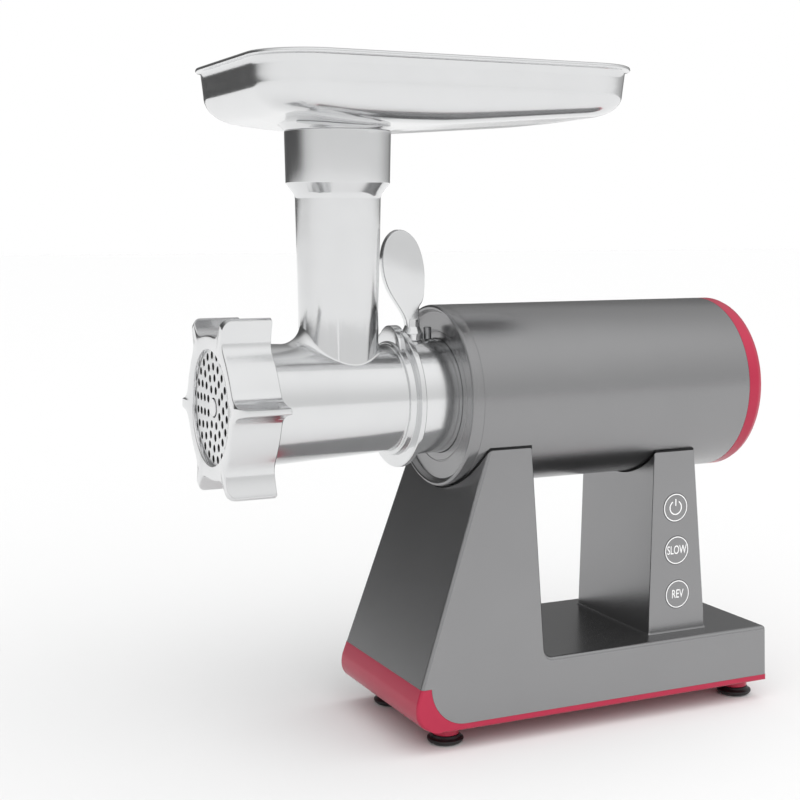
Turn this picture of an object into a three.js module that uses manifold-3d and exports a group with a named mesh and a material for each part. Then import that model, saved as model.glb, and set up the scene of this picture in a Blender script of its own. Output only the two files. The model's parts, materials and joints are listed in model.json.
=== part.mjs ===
// Electric meat grinder: a motor drum carried on a front pedestal and a rear column over a flat base,
// with a cast grinding head, feed tube and hopper tray in front of it.
// Millimetres, +Z up, +X from the outlet towards the rear, -Y the side with the push buttons.
// All shapes are drawn about the motor axis (y = 0, z = 0), with x = 0 at the drum's front rim.
// The last group moves that frame to the object's own origin, under the middle of it on the table.

import * as THREE from 'three';
import { mergeVertices } from 'three/addons/utils/BufferGeometryUtils.js';
import Module from 'manifold-3d';

const wasm = await Module();
wasm.setup();

// ---------------------------------------------------------------- driving dimensions
const gap = 0.3;                 // clearance between separate pieces that rest on each other
const roundSides = 36;           // facets round the large turned pieces
const smallSides = 12;           // facets round feet, buttons and screws

const drumRadius = 54;
const drumWall = 3;
const drumFrontX = 4.3;          // front edge of the drum tube, behind the bezel
const drumRearX = 190;           // rear edge of the drum tube, where the red cap starts
const capRearX = 201.6;
const axisHeight = 199;          // motor axis above the table

const baseBottomZ = -187;
const seamZ = -183;              // line between the grey base and the red tray below it
const plateTopZ = -152;
const baseRearX = 208;
const baseHalfWidth = 56.6;      // at the bottom
const baseTaper = 0.054;         // how much narrower each side gets for each millimetre of height
const frontFootX = -44.8;        // where the leaning front face would meet the bottom
const frontLean = 0.346;
const bandTopZ = -160.5;         // top edge of the red band across the front
const shellWall = 3;
const pedestalTopZ = -20;        // before the drum's saddle is cut out
const pedestalRearTopX = 39;
const pedestalRearFootX = 45.6;
const saddleRadius = drumRadius + 1.3;

const columnFoot = { x0: 127.8, x1: 170.2, halfWidth: 41.1, z: plateTopZ + gap };
const columnTop = { x0: 130.2, x1: 159.4, halfWidth: 40.4, z: -36 };

const footX = [-12, 197];
const footY = 38;
const footPostRadius = 8;
const footPadRadius = 10.8;

const tubeX = -62.4;             // axis of the feed tube
const tubeBore = 20.5;
const socketTopZ = 153.3;        // top of the feed tube's collar
const socketBore = 27;
const barrelEndX = -133.4;
const barrelBore = 26;
const knifeBore = 31.8;
const flangeX0 = -28.6;
const flangeX1 = -25.3;

const nutFrontX = -140.4;
const nutRearX = -112.3;
const nutRadius = 40.3;          // in the valleys between the lugs
const nutBore = 35.5;
const nutOpening = 32.5;
const nutLip = 2.3;              // thickness of the front lip that holds the cutting plate
const lugCount = 6;
const lugTipRadius = 56.4;
const lugTurn = THREE.MathUtils.degToRad(3);

const plateRadius = 35;          // a 70 mm plate
const plateFrontX = -137.8;
const plateThickness = 4;
const holeRadius = 2.2;
const holeRings = [[10.6, 8], [16.8, 13], [23, 18], [29.2, 23]];

const trayRimZ = 189.8;
const trayWall = 2;
const tray = { x0: -131, x1: 99.3, halfWidth: 75.2, corner: 34.5 };
const trayFilletInset = 24;      // where the floor starts to curve up into the wall
const trayFilletTopZ = 174;
const trayWallInset = 4.4;       // outside of the wall at the top of that curve

const leverX = -15.7;            // upright axis of the locking lever
const buttonCentres = { power_button: [146, -73], slow_button: [147.4, -100], reverse_button: [148.6, -128] };
const buttonRadius = 9;

const gearModule = 1.5;
const pinionTeeth = 8;
const wheelTeeth = 24;
const idlerZ = gearModule * (pinionTeeth + wheelTeeth) / 2;

// ---------------------------------------------------------------- materials
const finish = (color, roughness, metalness) => () =>
  new THREE.MeshStandardMaterial({ color, roughness, metalness });
const greyPaint = finish(0x8f9092, 0.38, 0.55);
const redPaint = finish(0xb8243f, 0.4, 0.1);
const castAluminium = finish(0xd6d8da, 0.16, 1.0);
const polishedSteel = finish(0xdfe1e3, 0.1, 1.0);
const darkSteel = finish(0x5c5e61, 0.4, 0.9);
const blackRubber = finish(0x0b0b0c, 0.8, 0.0);
const blackPlastic = finish(0x17181a, 0.5, 0.0);
const whitePlastic = finish(0xdcdcd6, 0.5, 0.0);
const laminatedSteel = finish(0x6f7275, 0.55, 0.8);
const brassMetal = finish(0xb98d4a, 0.3, 1.0);
const boardGreen = finish(0x1f5b3a, 0.5, 0.0);

// ---------------------------------------------------------------- geometry helpers

// Leaves only positions, merges shared corners, drops empty triangles and turns the faces outwards.
function closed(geometry) {
  const bare = geometry.clone();
  bare.deleteAttribute('normal');
  bare.deleteAttribute('uv');
  const merged = mergeVertices(bare, 1e-3);
  const position = merged.attributes.position;
  const corners = merged.index.array;
  const kept = [];
  const [a, b, c] = [new THREE.Vector3(), new THREE.Vector3(), new THREE.Vector3()];
  let volume = 0;
  for (let i = 0; i < corners.length; i += 3) {
    const [p, q, r] = [corners[i], corners[i + 1], corners[i + 2]];
    if (p === q || q === r || r === p) continue;
    kept.push(p, q, r);
    a.fromBufferAttribute(position, p);
    b.fromBufferAttribute(position, q);
    c.fromBufferAttribute(position, r);
    volume += a.dot(b.cross(c));
  }
  if (volume < 0) {
    for (let i = 0; i < kept.length; i += 3) {
      [kept[i], kept[i + 1]] = [kept[i + 1], kept[i]];
    }
  }
  merged.setIndex(kept);
  return merged;
}

function solid(geometry) {
  const clean = closed(geometry);
  return new wasm.Manifold(new wasm.Mesh({
    numProp: 3,
    vertProperties: new Float32Array(clean.attributes.position.array),
    triVerts: new Uint32Array(clean.index.array),
  }));
}

function geometryOf(shape) {
  const mesh = shape.getMesh();
  const geometry = new THREE.BufferGeometry();
  geometry.setAttribute('position', new THREE.BufferAttribute(mesh.vertProperties, 3));
  geometry.setIndex(new THREE.BufferAttribute(mesh.triVerts, 1));
  return geometry;
}

const joined = (...pieces) => pieces.reduce((sum, piece) => sum.add(piece));
const cut = (body, ...tools) => tools.reduce((rest, tool) => rest.subtract(tool), body);

// A closed profile of [x, radius] corners turned about the motor axis.
function turnedX(profile, sides = roundSides) {
  const corners = profile.map(([x, radius]) => new THREE.Vector2(radius, x));
  if (profile[0][1] > 0 || profile.at(-1)[1] > 0) corners.push(corners[0].clone());
  return new THREE.LatheGeometry(corners, sides).rotateZ(-Math.PI / 2);
}

// A closed profile of [radius, z] corners turned about an upright axis at (x, y).
function turnedZ(profile, x, y, sides = roundSides) {
  const corners = profile.map(([radius, z]) => new THREE.Vector2(radius, z));
  if (profile[0][0] > 0 || profile.at(-1)[0] > 0) corners.push(corners[0].clone());
  return new THREE.LatheGeometry(corners, sides).rotateX(Math.PI / 2).translate(x, y, 0);
}

const rodX = (x0, x1, radius, y = 0, z = 0, sides = roundSides) =>
  turnedX([[x0, 0], [x0, radius], [x1, radius], [x1, 0]], sides).translate(0, y, z);
const rodZ = (z0, z1, radius, x, y, sides = smallSides) =>
  turnedZ([[0, z0], [radius, z0], [radius, z1], [0, z1]], x, y, sides);
const ringX = (x0, x1, inner, outer, sides = roundSides) =>
  turnedX([[x0, inner], [x0, outer], [x1, outer], [x1, inner]], sides);

function block(x0, x1, y0, y1, z0, z1) {
  return new THREE.BoxGeometry(x1 - x0, y1 - y0, z1 - z0)
    .translate((x0 + x1) / 2, (y0 + y1) / 2, (z0 + z1) / 2);
}

// An outline in the upright X-Z plane, drawn out along Y.
function slabY(shape, y0, y1, curveSegments = 10) {
  const settings = { depth: y1 - y0, bevelEnabled: false, curveSegments };
  return new THREE.ExtrudeGeometry(shape, settings).rotateX(Math.PI / 2).translate(0, y1, 0);
}

// An outline in the upright Y-Z plane, drawn out along X.
const alongX = new THREE.Matrix4().makeBasis(
  new THREE.Vector3(0, 1, 0), new THREE.Vector3(0, 0, 1), new THREE.Vector3(1, 0, 0));
function slabX(shape, x0, x1, curveSegments = 10, steps = 1) {
  const settings = { depth: x1 - x0, bevelEnabled: false, curveSegments, steps };
  return new THREE.ExtrudeGeometry(shape, settings).applyMatrix4(alongX).translate(x0, 0, 0);
}

const polygon = corners => new THREE.Shape(corners.map(([u, v]) => new THREE.Vector2(u, v)));
const polar = (radius, angle) => [radius * Math.cos(angle), radius * Math.sin(angle)];

function regularPolygon(radius, sides, turn = 0) {
  const corners = [];
  for (let i = 0; i < sides; i++) corners.push(polar(radius, turn + i * 2 * Math.PI / sides));
  return corners;
}

// ---------------------------------------------------------------- the group and its pieces
const grinder = new THREE.Group();
const machine = new THREE.Group();
grinder.add(machine);

function piece(name, shape, material) {
  const geometry = shape instanceof THREE.BufferGeometry ? closed(shape) : geometryOf(shape);
  const mesh = new THREE.Mesh(geometry, material());
  mesh.name = name;
  machine.add(mesh);
  return mesh;
}

// ---------------------------------------------------------------- base, pedestal and red tray
const frontX = z => frontFootX + frontLean * (z - baseBottomZ);
const sideY = z => baseHalfWidth - baseTaper * (z - baseBottomZ);

// A prism along X whose two sides lean inwards like the base's; it trims a profile to width.
function taperedWidth(inset) {
  const low = baseBottomZ - 10;
  const high = 0;
  const corners = [
    [-sideY(low) + inset, low], [sideY(low) - inset, low],
    [sideY(high) - inset, high], [-sideY(high) + inset, high],
  ];
  return solid(slabX(polygon(corners), frontFootX - 20, baseRearX + 20));
}

function baseProfile() {
  const innerX = -8;
  const shape = new THREE.Shape();
  shape.moveTo(frontX(pedestalTopZ), pedestalTopZ);
  shape.lineTo(frontX(bandTopZ), bandTopZ);
  shape.lineTo(innerX - 21.3, bandTopZ);
  shape.absellipse(innerX, bandTopZ, 21.3, bandTopZ - seamZ, Math.PI, 1.5 * Math.PI, false);
  shape.lineTo(baseRearX, seamZ);
  shape.lineTo(baseRearX, plateTopZ - 2.5);
  shape.lineTo(baseRearX - 2.5, plateTopZ);
  shape.lineTo(pedestalRearFootX + 6, plateTopZ);
  shape.quadraticCurveTo(pedestalRearFootX, plateTopZ, pedestalRearFootX - 0.3, plateTopZ + 6);
  shape.lineTo(pedestalRearTopX, pedestalTopZ);
  return shape;
}

const baseCavity = polygon([
  [frontX(0) + shellWall, 0],
  [frontX(baseBottomZ - 8) + shellWall, baseBottomZ - 8],
  [baseRearX - shellWall, baseBottomZ - 8],
  [baseRearX - shellWall, plateTopZ - shellWall],
  [pedestalRearFootX - shellWall, plateTopZ - shellWall],
  [pedestalRearTopX - shellWall - 1, 0],
]);

const baseOuter = solid(slabY(baseProfile(), -70, 70)).intersect(taperedWidth(0));
const screwBosses = footX.flatMap(x => [-footY, footY].map(y => {
  const top = x < 0 ? -165 : plateTopZ - shellWall + 1;
  const boss = solid(rodZ(seamZ, top, 5, x, y));
  if (x > 0) return boss;
  const [y0, y1] = y < 0 ? [-54, y] : [y, 54];
  return boss.add(solid(block(x - 1.5, x + 1.5, y0, y1, seamZ, top)));
}));
const screwHoles = footX.flatMap(x => [-footY, footY].map(y =>
  solid(rodZ(baseBottomZ - 5, -170, 2.4, x, y, 12))));
const saddleCut = solid(rodX(-30, baseRearX, saddleRadius));
const inletHole = block(baseRearX - 6, baseRearX + 6, -13.5, 13.5, -178.2, -158.5);
const wireHole = block(140, 156, -14, 14, plateTopZ - 6, plateTopZ + 6);

const baseInner = solid(slabY(baseCavity, -70, 70)).intersect(taperedWidth(shellWall));
const baseBody = joined(cut(baseOuter, baseInner), ...screwBosses.map(boss => boss.intersect(baseOuter)));
piece('base_shell', cut(baseBody, saddleCut, ...screwHoles, solid(inletHole), solid(wireHole)), greyPaint);

function redTrayProfile() {
  const innerX = -8;
  const top = bandTopZ - gap;
  const inner = seamZ - gap;
  const shape = new THREE.Shape();
  shape.moveTo(frontX(top), top);
  shape.lineTo(frontX(-168), -168);
  shape.quadraticCurveTo(-42.6, baseBottomZ, -18, baseBottomZ);
  shape.lineTo(baseRearX, baseBottomZ);
  shape.lineTo(baseRearX, inner);
  shape.lineTo(innerX, inner);
  shape.absellipse(innerX, top, 21.6, top - inner, 1.5 * Math.PI, Math.PI, true);
  return shape;
}
const redTrayBlock = solid(slabY(redTrayProfile(), -70, 70)).intersect(taperedWidth(0));
piece('undertray', cut(redTrayBlock, ...screwHoles), redPaint);

// Feet: a red post, a black rubber pad and the screw that holds both to the base.
function foot(suffix, x, y) {
  const padTopZ = -193.6;
  const floorZ = -axisHeight;
  const [postZ0, postZ1] = [padTopZ + gap, baseBottomZ - gap];
  const post = [[2.4, postZ0], [footPostRadius, postZ0], [footPostRadius, postZ1], [2.4, postZ1]];
  piece(`foot_post_${suffix}`, turnedZ(post, x, y, smallSides), redPaint);
  const pad = [
    [2.4, padTopZ], [footPostRadius, padTopZ], [footPadRadius, padTopZ - 1.6], [footPadRadius, floorZ + 1.2],
    [footPadRadius - 1.4, floorZ], [5, floorZ], [5, floorZ + 2.6], [2.4, floorZ + 2.6],
  ];
  piece(`foot_pad_${suffix}`, turnedZ(pad, x, y, smallSides), blackRubber);
  const headZ = floorZ + 2.6 - gap;
  const screw = [[0, headZ - 1.6], [4.2, headZ - 1.6], [4.2, headZ], [2, headZ], [2, -173], [0, -173]];
  piece(`foot_screw_${suffix}`, turnedZ(screw, x, y, 10), darkSteel);
}
foot('front_left', footX[0], footY);
foot('front_right', footX[0], -footY);
foot('rear_left', footX[1], footY);
foot('rear_right', footX[1], -footY);

// ---------------------------------------------------------------- rear column and its buttons

// A box whose top is a smaller rectangle than its foot.
function frustum(foot, top, wall = 0, reach = 0) {
  const geometry = new THREE.BoxGeometry(1, 1, 1);
  const position = geometry.attributes.position;
  for (let i = 0; i < position.count; i++) {
    const end = position.getZ(i) > 0 ? top : foot;
    const x = position.getX(i) > 0 ? end.x1 - wall : end.x0 + wall;
    const y = Math.sign(position.getY(i)) * (end.halfWidth - wall);
    position.setXYZ(i, x, y, end.z + Math.sign(position.getZ(i)) * reach);
  }
  return geometry;
}

const columnSlope = (columnFoot.halfWidth - columnTop.halfWidth) / (columnTop.z - columnFoot.z);
const columnFaceY = z => -(columnFoot.halfWidth - columnSlope * (z - columnFoot.z));
const pressDirection = new THREE.Vector3(0, 1, -columnSlope).normalize();
const towardsColumn = new THREE.Quaternion().setFromUnitVectors(new THREE.Vector3(1, 0, 0), pressDirection);

// Places a piece drawn along +X from its front face so that it points into the column's near face.
const atButton = ([x, z], depth = 0) => new THREE.Matrix4().compose(
  new THREE.Vector3(x, columnFaceY(z), z).addScaledVector(pressDirection, depth),
  towardsColumn, new THREE.Vector3(1, 1, 1));

const buttonHoles = Object.values(buttonCentres).map(centre =>
  solid(rodX(-5, 8, buttonRadius + gap + 0.1, 0, 0, 20).applyMatrix4(atButton(centre))));
const columnBody = cut(
  solid(frustum(columnFoot, columnTop)),
  solid(frustum(columnFoot, columnTop, shellWall, 2)),
  saddleCut, ...buttonHoles);
piece('rear_column', columnBody, greyPaint);

const buttonProfile = [[0, 0], [0, buttonRadius - 0.5], [0.5, buttonRadius], [2.4, buttonRadius],
  [2.4, 3], [7.4, 3], [7.4, 0]];
for (const [name, centre] of Object.entries(buttonCentres)) {
  const cap = turnedX(buttonProfile, 16).applyMatrix4(atButton(centre, -0.3));
  piece(name, cap, greyPaint);
}

// Board behind the buttons, with a small switch for each and a connector.
const boardY = columnFaceY(-100) + 13.2;
const boardParts = Object.values(buttonCentres).map(([x, z]) =>
  solid(block(x - 3, x + 3, boardY - 3.6, boardY + 0.5, z - 3, z + 3)));
boardParts.push(solid(block(141, 153, boardY + 1, boardY + 8, -146, -140)));
const boardPlate = solid(block(136, 158, boardY, boardY + 1.6, -148, -62));
piece('control_board', joined(boardPlate, ...boardParts), boardGreen);

// ---------------------------------------------------------------- black seals under the drum
const sealRing = solid(ringX(-30, baseRearX, drumRadius + gap, saddleRadius - gap));
const pedestalRim = new THREE.Shape([
  new THREE.Vector2(frontX(-60) + 2, -60), new THREE.Vector2(frontX(-20) + 0.8, -20),
  new THREE.Vector2(pedestalRearTopX - 0.8, -20), new THREE.Vector2(pedestalRearTopX + 1, -60)]);
piece('pedestal_seal', sealRing.intersect(solid(slabY(pedestalRim, -47, 47))), blackRubber);
piece('column_seal', sealRing.intersect(solid(block(132, 158.6, -39.6, 39.6, -60, -30))), blackRubber);

// ---------------------------------------------------------------- motor drum
const drumBore = drumRadius - drumWall;
piece('drum_housing', ringX(drumFrontX, drumRearX, drumBore, drumRadius), greyPaint);

const bezel = [[0.6, 34.4], [0.6, 49.6], [-2.2, 51.2], [-2.6, 52.4], [-2, 53.4], [-0.6, drumRadius],
  [4, drumRadius], [4, 50.6], [9, 50.6], [9, 34.4]];
piece('front_bezel', turnedX(bezel), greyPaint);

const capProfile = [[drumRearX + gap, drumRadius], [197, drumRadius], [200.2, 52.6], [capRearX, 48.8],
  [capRearX, 0], [199.2, 0], [199.2, 47.6], [186, 47.6], [186, 50.6], [drumRearX + gap, 50.6]];
const capScrewRadius = 42;
const capScrewAngles = [90, 210, 330].map(THREE.MathUtils.degToRad);
const capHoles = capScrewAngles.map(angle => {
  const [y, z] = polar(capScrewRadius, angle);
  return solid(rodX(198, 203, 1.9, y, z, 12));
});
const ventSlots = [-24, -16, -8, 0, 8, 16, 24].map(z => {
  const halfLength = Math.sqrt(34 * 34 - z * z);
  return solid(block(198, 203, -halfLength, halfLength, z - 1.5, z + 1.5));
});
piece('rear_cap', cut(solid(turnedX(capProfile)), ...capHoles, ...ventSlots), redPaint);
capScrewAngles.forEach((angle, i) => {
  const [y, z] = polar(capScrewRadius, angle);
  const headX = capRearX + gap;
  const screw = [[188, 0], [188, 1.5], [headX, 1.5], [headX, 3.2], [203.4, 2.6], [203.4, 0]];
  piece(`cap_screw_${i + 1}`, turnedX(screw, 10).translate(0, y, z), darkSteel);
});

// Bright collar that the head's spigot slides into, with a flat and a hole for the locking lever.
const collar = [[-25, 27.4], [-25, 33.1], [-24.2, 33.9], [9.3, 33.9], [9.3, 46], [13.8, 46], [13.8, 27.4]];
const collarFlat = block(-24.5, -7, -12, 12, 33.1, 40);
piece('socket_collar', cut(solid(turnedX(collar)), solid(collarFlat), solid(rodZ(20, 40, 3.9, leverX, 0))),
  polishedSteel);
piece('stop_pin', rodZ(33.9 + gap, 41, 2.4, -5.6, 0, 12), darkSteel);

// ---------------------------------------------------------------- gearbox
const pitchRadius = teeth => gearModule * teeth / 2;

// Straight-sided teeth, thinner than half the pitch so that they run with backlash.
function gear(teeth, bore, firstTooth, x0, x1) {
  const root = pitchRadius(teeth) - 1.1 * gearModule;
  const tip = pitchRadius(teeth) + 0.8 * gearModule;
  const step = 2 * Math.PI / teeth;
  const outline = [];
  for (let i = 0; i < teeth; i++) {
    const middle = firstTooth + i * step;
    outline.push(polar(root, middle - 0.26 * step), polar(tip, middle - 0.1 * step),
      polar(tip, middle + 0.1 * step), polar(root, middle + 0.26 * step));
  }
  const shape = polygon(outline);
  shape.holes.push(new THREE.Path(regularPolygon(bore, 12).map(([u, v]) => new THREE.Vector2(u, v))));
  return slabX(shape, x0, x1);
}
const upwards = Math.PI / 2;
const halfWheelStep = Math.PI / wheelTeeth;
const halfPinionStep = Math.PI / pinionTeeth;

const pinHole = solid(rodX(10, 60, 3.3, 0, idlerZ, 12));
piece('gearbox_front_plate', cut(solid(ringX(14.1, 19.1, 13.3, 50.5)), pinHole), castAluminium);
const gearCase = [[19.4, 47], [19.4, 50.5], [52, 50.5], [52, 8.3], [47.6, 8.3], [47.6, 47]];
piece('gearbox_case', cut(solid(turnedX(gearCase)), pinHole), castAluminium);
piece('idler_pin', rodX(14.6, 51.6, 3, 0, idlerZ, 12), darkSteel);
piece('output_bearing', ringX(14.1, 19.1, 9.3, 13, 16), darkSteel);
piece('motor_front_bearing', ringX(47.6, 52, 3.3, 8, 16), darkSteel);

const driveSocket = solid(slabX(polygon(regularPolygon(6.6, 6)), -19, 7));
const outputShaft = turnedX([[-18, 0], [-18, 11], [6, 11], [8, 9], [35.3, 9], [35.3, 0]], 20);
piece('output_shaft', cut(solid(outputShaft), driveSocket), darkSteel);
piece('output_gear', gear(wheelTeeth, 9.4, upwards, 24, 34), darkSteel);
piece('idler_pinion', gear(pinionTeeth, 3.3, -upwards + halfPinionStep, 23, 35.4).translate(0, 0, idlerZ),
  darkSteel);
piece('idler_gear', gear(wheelTeeth, 3.3, -upwards + halfWheelStep, 37, 45).translate(0, 0, idlerZ),
  darkSteel);

// ---------------------------------------------------------------- motor
piece('motor_pinion', gear(pinionTeeth, 3.3, upwards, 36.4, 45.6), darkSteel);
const shaftProfile = [[36.4, 0], [36.4, 3], [54, 3], [54, 4], [152, 4], [152, 3], [172, 3], [172, 0]];
piece('motor_shaft', turnedX(shaftProfile, 12), darkSteel);

const slotCount = 8;
const armatureSlots = [];
for (let i = 0; i < slotCount; i++) {
  const slot = block(60, 122, -1.5, 1.5, 15, 24).rotateX(i * 2 * Math.PI / slotCount);
  armatureSlots.push(solid(slot));
}
piece('armature', cut(solid(ringX(66, 116, 4.3, 21.5, 36)), ...armatureSlots), laminatedSteel);
piece('commutator', ringX(124, 136, 4.3, 10, 16), brassMetal);

const statorWindows = [-1, 1].map(side => solid(block(60, 122, -9, 9, side * 31 - 5, side * 31 + 5)));
piece('field_stator', cut(solid(ringX(66, 116, 22.3, 44)), ...statorWindows), laminatedSteel);
piece('stator_sleeve', ringX(78, 104, 44 + gap, drumBore - gap), blackPlastic);
for (const [side, name] of [[-1, 'brush_holder_near'], [1, 'brush_holder_far']]) {
  const [y0, y1] = side < 0 ? [-26, -10.4] : [10.4, 26];
  piece(name, block(126, 134, y0, y1, -4, 4), blackPlastic);
}
const bracketWindows = [0, 1, 2, 3].map(i =>
  solid(block(140, 156, 15, 40, -9, 9).rotateX((i + 0.5) * Math.PI / 2)));
const rearBracket = solid(ringX(144, 149, 8.3, drumBore - gap));
piece('motor_rear_bracket', cut(rearBracket, ...bracketWindows), castAluminium);
piece('motor_rear_bearing', ringX(144, 149, 4.3, 8, 16), darkSteel);

const bladeCount = 9;
const fanBlades = [];
for (let i = 0; i < bladeCount; i++) {
  const blade = block(-5, 5, -0.9, 0.9, 6, 38).rotateZ(0.5).translate(161.5, 0, 0)
    .rotateX(i * 2 * Math.PI / bladeCount);
  fanBlades.push(solid(blade));
}
const fanHub = joined(solid(ringX(156, 167, 3.3, 9, 16)), ...fanBlades);
piece('cooling_fan', cut(fanHub, solid(rodX(150, 170, 3.3, 0, 0, 24))), blackPlastic);

// ---------------------------------------------------------------- electrics in the base
const powerBoard = joined(
  solid(block(60, 128, -34, 34, -179, -177.4)),
  solid(rodZ(-178, -160, 8, 74, 14)), solid(rodZ(-178, -163, 6, 74, -12)),
  solid(block(96, 120, -20, 12, -178, -162)));
piece('power_board', powerBoard, boardGreen);
const inletBody = block(192, baseRearX - 0.2, -13.2, 13.2, -177.9, -158.8);
const inletRecess = block(196, baseRearX + 3, -11, 11, -175.4, -161.3);
piece('mains_inlet', cut(solid(inletBody), solid(inletRecess)), blackPlastic);

// ---------------------------------------------------------------- grinding head
const barrelOuter = solid(turnedX([
  [barrelEndX, 0], [barrelEndX, 33.8], [barrelEndX + 1, 34.8], [-112, 34.8], [-111, 34.6], [-32, 30.9],
  [-32, 33], [flangeX0, 33.6], [flangeX0, 40], [flangeX0 + 0.8, 40.8], [flangeX1 - 0.8, 40.8], [flangeX1, 40],
  [flangeX1, 27], [-6, 27], [-6, 0],
]));
const tubeOuter = solid(turnedZ([
  [0, 8], [22.8, 8], [23.1, 52.5], [24.6, 117.8], [25.1, 120.2], [26.4, 122.6], [29.5, 124.2],
  [30.2, socketTopZ], [0, socketTopZ],
], tubeX, 0, 32));
const locatingBoss = solid(rodX(-30.8, flangeX1, 16, 0, 26.6, 24));
const tubeBores = [[0, 0], [tubeBore, 0], [tubeBore, 125], [socketBore, 130], [socketBore, 160], [0, 160]];
const headBores = [
  rodX(-127, -41, barrelBore, 0, 0, 28),
  rodX(barrelEndX - 2, -126.6, knifeBore, 0, 0, 28),
  rodX(-42, -33, 13.3, 0, 0, 16),
  rodX(-42, -4, 9.8, 0, 0, 16),
  rodX(-20.5, -4, 20, 0, 0, 20),
  turnedZ(tubeBores, tubeX, 0, 24),
].map(solid);
piece('head_casting', cut(joined(barrelOuter, tubeOuter, locatingBoss), ...headBores), castAluminium);
piece('auger_bush', ringX(-40.6, -33.3, 9.4, 13, 16), whitePlastic);

// Ring nut: a short threaded ring whose edge flares out into narrow lugs for the hand.
const lugHeightAt = angle => Math.min(1, 1.25 / (1 + (angle / 0.055) ** 2));

function nutOutline() {
  const step = 2 * Math.PI / lugCount;
  const flank = [0.025, 0.04, 0.055, 0.075, 0.11, 0.16, 0.24, 0.36];
  const offsets = [...flank.map(angle => -angle).reverse(), ...flank, step / 2];
  const outline = [];
  for (let i = 0; i < lugCount; i++) {
    const middle = Math.PI - lugTurn + i * step;
    for (const offset of offsets) {
      const radius = nutRadius + (lugTipRadius - nutRadius) * lugHeightAt(offset);
      outline.push(polar(radius, middle + offset));
    }
  }
  return outline;
}

// The lugs' front corners are rounded off by this turned envelope.
const nutEnvelope = turnedX([[nutFrontX, 0], [nutFrontX, 51], [nutFrontX + 1.6, 54.2],
  [nutFrontX + 5.5, lugTipRadius + 0.4], [nutRearX, lugTipRadius + 0.4], [nutRearX, 0]], 60);
const nutBody = solid(slabX(polygon(nutOutline()), nutFrontX, nutRearX)).intersect(solid(nutEnvelope));
const nutMouth = solid(rodX(nutFrontX - 1, nutRearX + 1, nutOpening));
const nutThreadBore = solid(rodX(nutFrontX + nutLip, nutRearX + 1, nutBore));
piece('ring_nut', cut(nutBody, nutMouth, nutThreadBore), castAluminium);

function cuttingPlate() {
  const shape = polygon(regularPolygon(plateRadius, roundSides));
  const addHole = (y, z, radius, sides) => {
    const corners = regularPolygon(radius, sides).map(([u, v]) => new THREE.Vector2(y + u, z + v));
    shape.holes.push(new THREE.Path(corners));
  };
  addHole(0, 0, 5.6, 10);
  for (const [ring, count] of holeRings) {
    for (let i = 0; i < count; i++) {
      const [y, z] = polar(ring, (i + 0.5) * 2 * Math.PI / count);
      addHole(y, z, holeRadius, 6);
    }
  }
  return slabX(shape, plateFrontX, plateFrontX + plateThickness);
}
piece('cutting_plate', cuttingPlate(), polishedSteel);

function knifeShape() {
  const outline = [];
  for (let i = 0; i < 4; i++) {
    const middle = i * Math.PI / 2 + 0.4;
    outline.push(polar(11, middle - 0.55), polar(30, middle - 0.06));
    outline.push(polar(30, middle + 0.12), polar(12, middle + 0.3));
  }
  const shape = polygon(outline);
  shape.holes.push(new THREE.Path([[-4.9, -4.9], [-4.9, 4.9], [4.9, 4.9], [4.9, -4.9]]
    .map(([u, v]) => new THREE.Vector2(u, v))));
  return shape;
}
piece('knife', slabX(knifeShape(), -132.9, -128.6), polishedSteel);

// Feed screw: a sector-shaped flight on a round core, twisted along the axis.
function auger() {
  const flightRadius = 25.2;
  const coreRadius = 9.5;
  const turns = 2.75;
  const [x0, x1] = [-126.2, -41.6];
  const outline = [
    ...[-0.5, -0.17, 0.17, 0.5].map(angle => polar(flightRadius, angle)),
    polar(14, 0.66), polar(coreRadius, 0.95),
    ...[1.7, 2.42, 3.14, 3.86, 4.58].map(angle => polar(coreRadius, angle)),
    polar(coreRadius, -0.95), polar(14, -0.66),
  ];
  const geometry = slabX(polygon(outline), x0, x1, 1, 34);
  const position = geometry.attributes.position;
  const point = new THREE.Vector3();
  const axis = new THREE.Vector3(1, 0, 0);
  for (let i = 0; i < position.count; i++) {
    point.fromBufferAttribute(position, i);
    point.applyAxisAngle(axis, turns * 2 * Math.PI * (point.x - x0) / (x1 - x0));
    position.setXYZ(i, point.x, point.y, point.z);
  }
  return joined(
    solid(geometry),
    solid(rodX(x1 - 1, -27, 9.1, 0, 0, 20)),
    solid(slabX(polygon(regularPolygon(6.1, 6)), -28, 6)),
    solid(block(-133.2, x0 + 1, -4.5, 4.5, -4.5, 4.5)),
    solid(rodX(-138.4, -133.1, 5, 0, 0, 16)));
}
piece('auger', auger(), castAluminium);

// ---------------------------------------------------------------- hopper tray

// Corners of a rectangle with rounded ends, shared out evenly along its edge, seen from above.
function roundedRectangle(inset, count) {
  const corner = tray.corner - inset;
  const [x0, x1, y1] = [tray.x0 + inset, tray.x1 - inset, tray.halfWidth - inset];
  const outline = new THREE.Shape();
  outline.moveTo(x1, 0);
  outline.lineTo(x1, y1 - corner);
  outline.absarc(x1 - corner, y1 - corner, corner, 0, Math.PI / 2, false);
  outline.lineTo(x0 + corner, y1);
  outline.absarc(x0 + corner, y1 - corner, corner, Math.PI / 2, Math.PI, false);
  outline.lineTo(x0, -y1 + corner);
  outline.absarc(x0 + corner, -y1 + corner, corner, Math.PI, 1.5 * Math.PI, false);
  outline.lineTo(x1 - corner, -y1);
  outline.absarc(x1 - corner, -y1 + corner, corner, 1.5 * Math.PI, 2 * Math.PI, false);
  outline.lineTo(x1, 0);
  return outline.getSpacedPoints(count);
}

// Height of the floor's underside: flat round the neck and rising gently towards both ends.
const softly = distance => (distance + Math.sqrt(distance * distance + 144)) / 2;
const trayFloorZ = (x, y) =>
  154.2 + 0.012 * Math.abs(y) + 0.078 * softly(x + 20) + 0.11 * softly(-70 - x);

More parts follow.
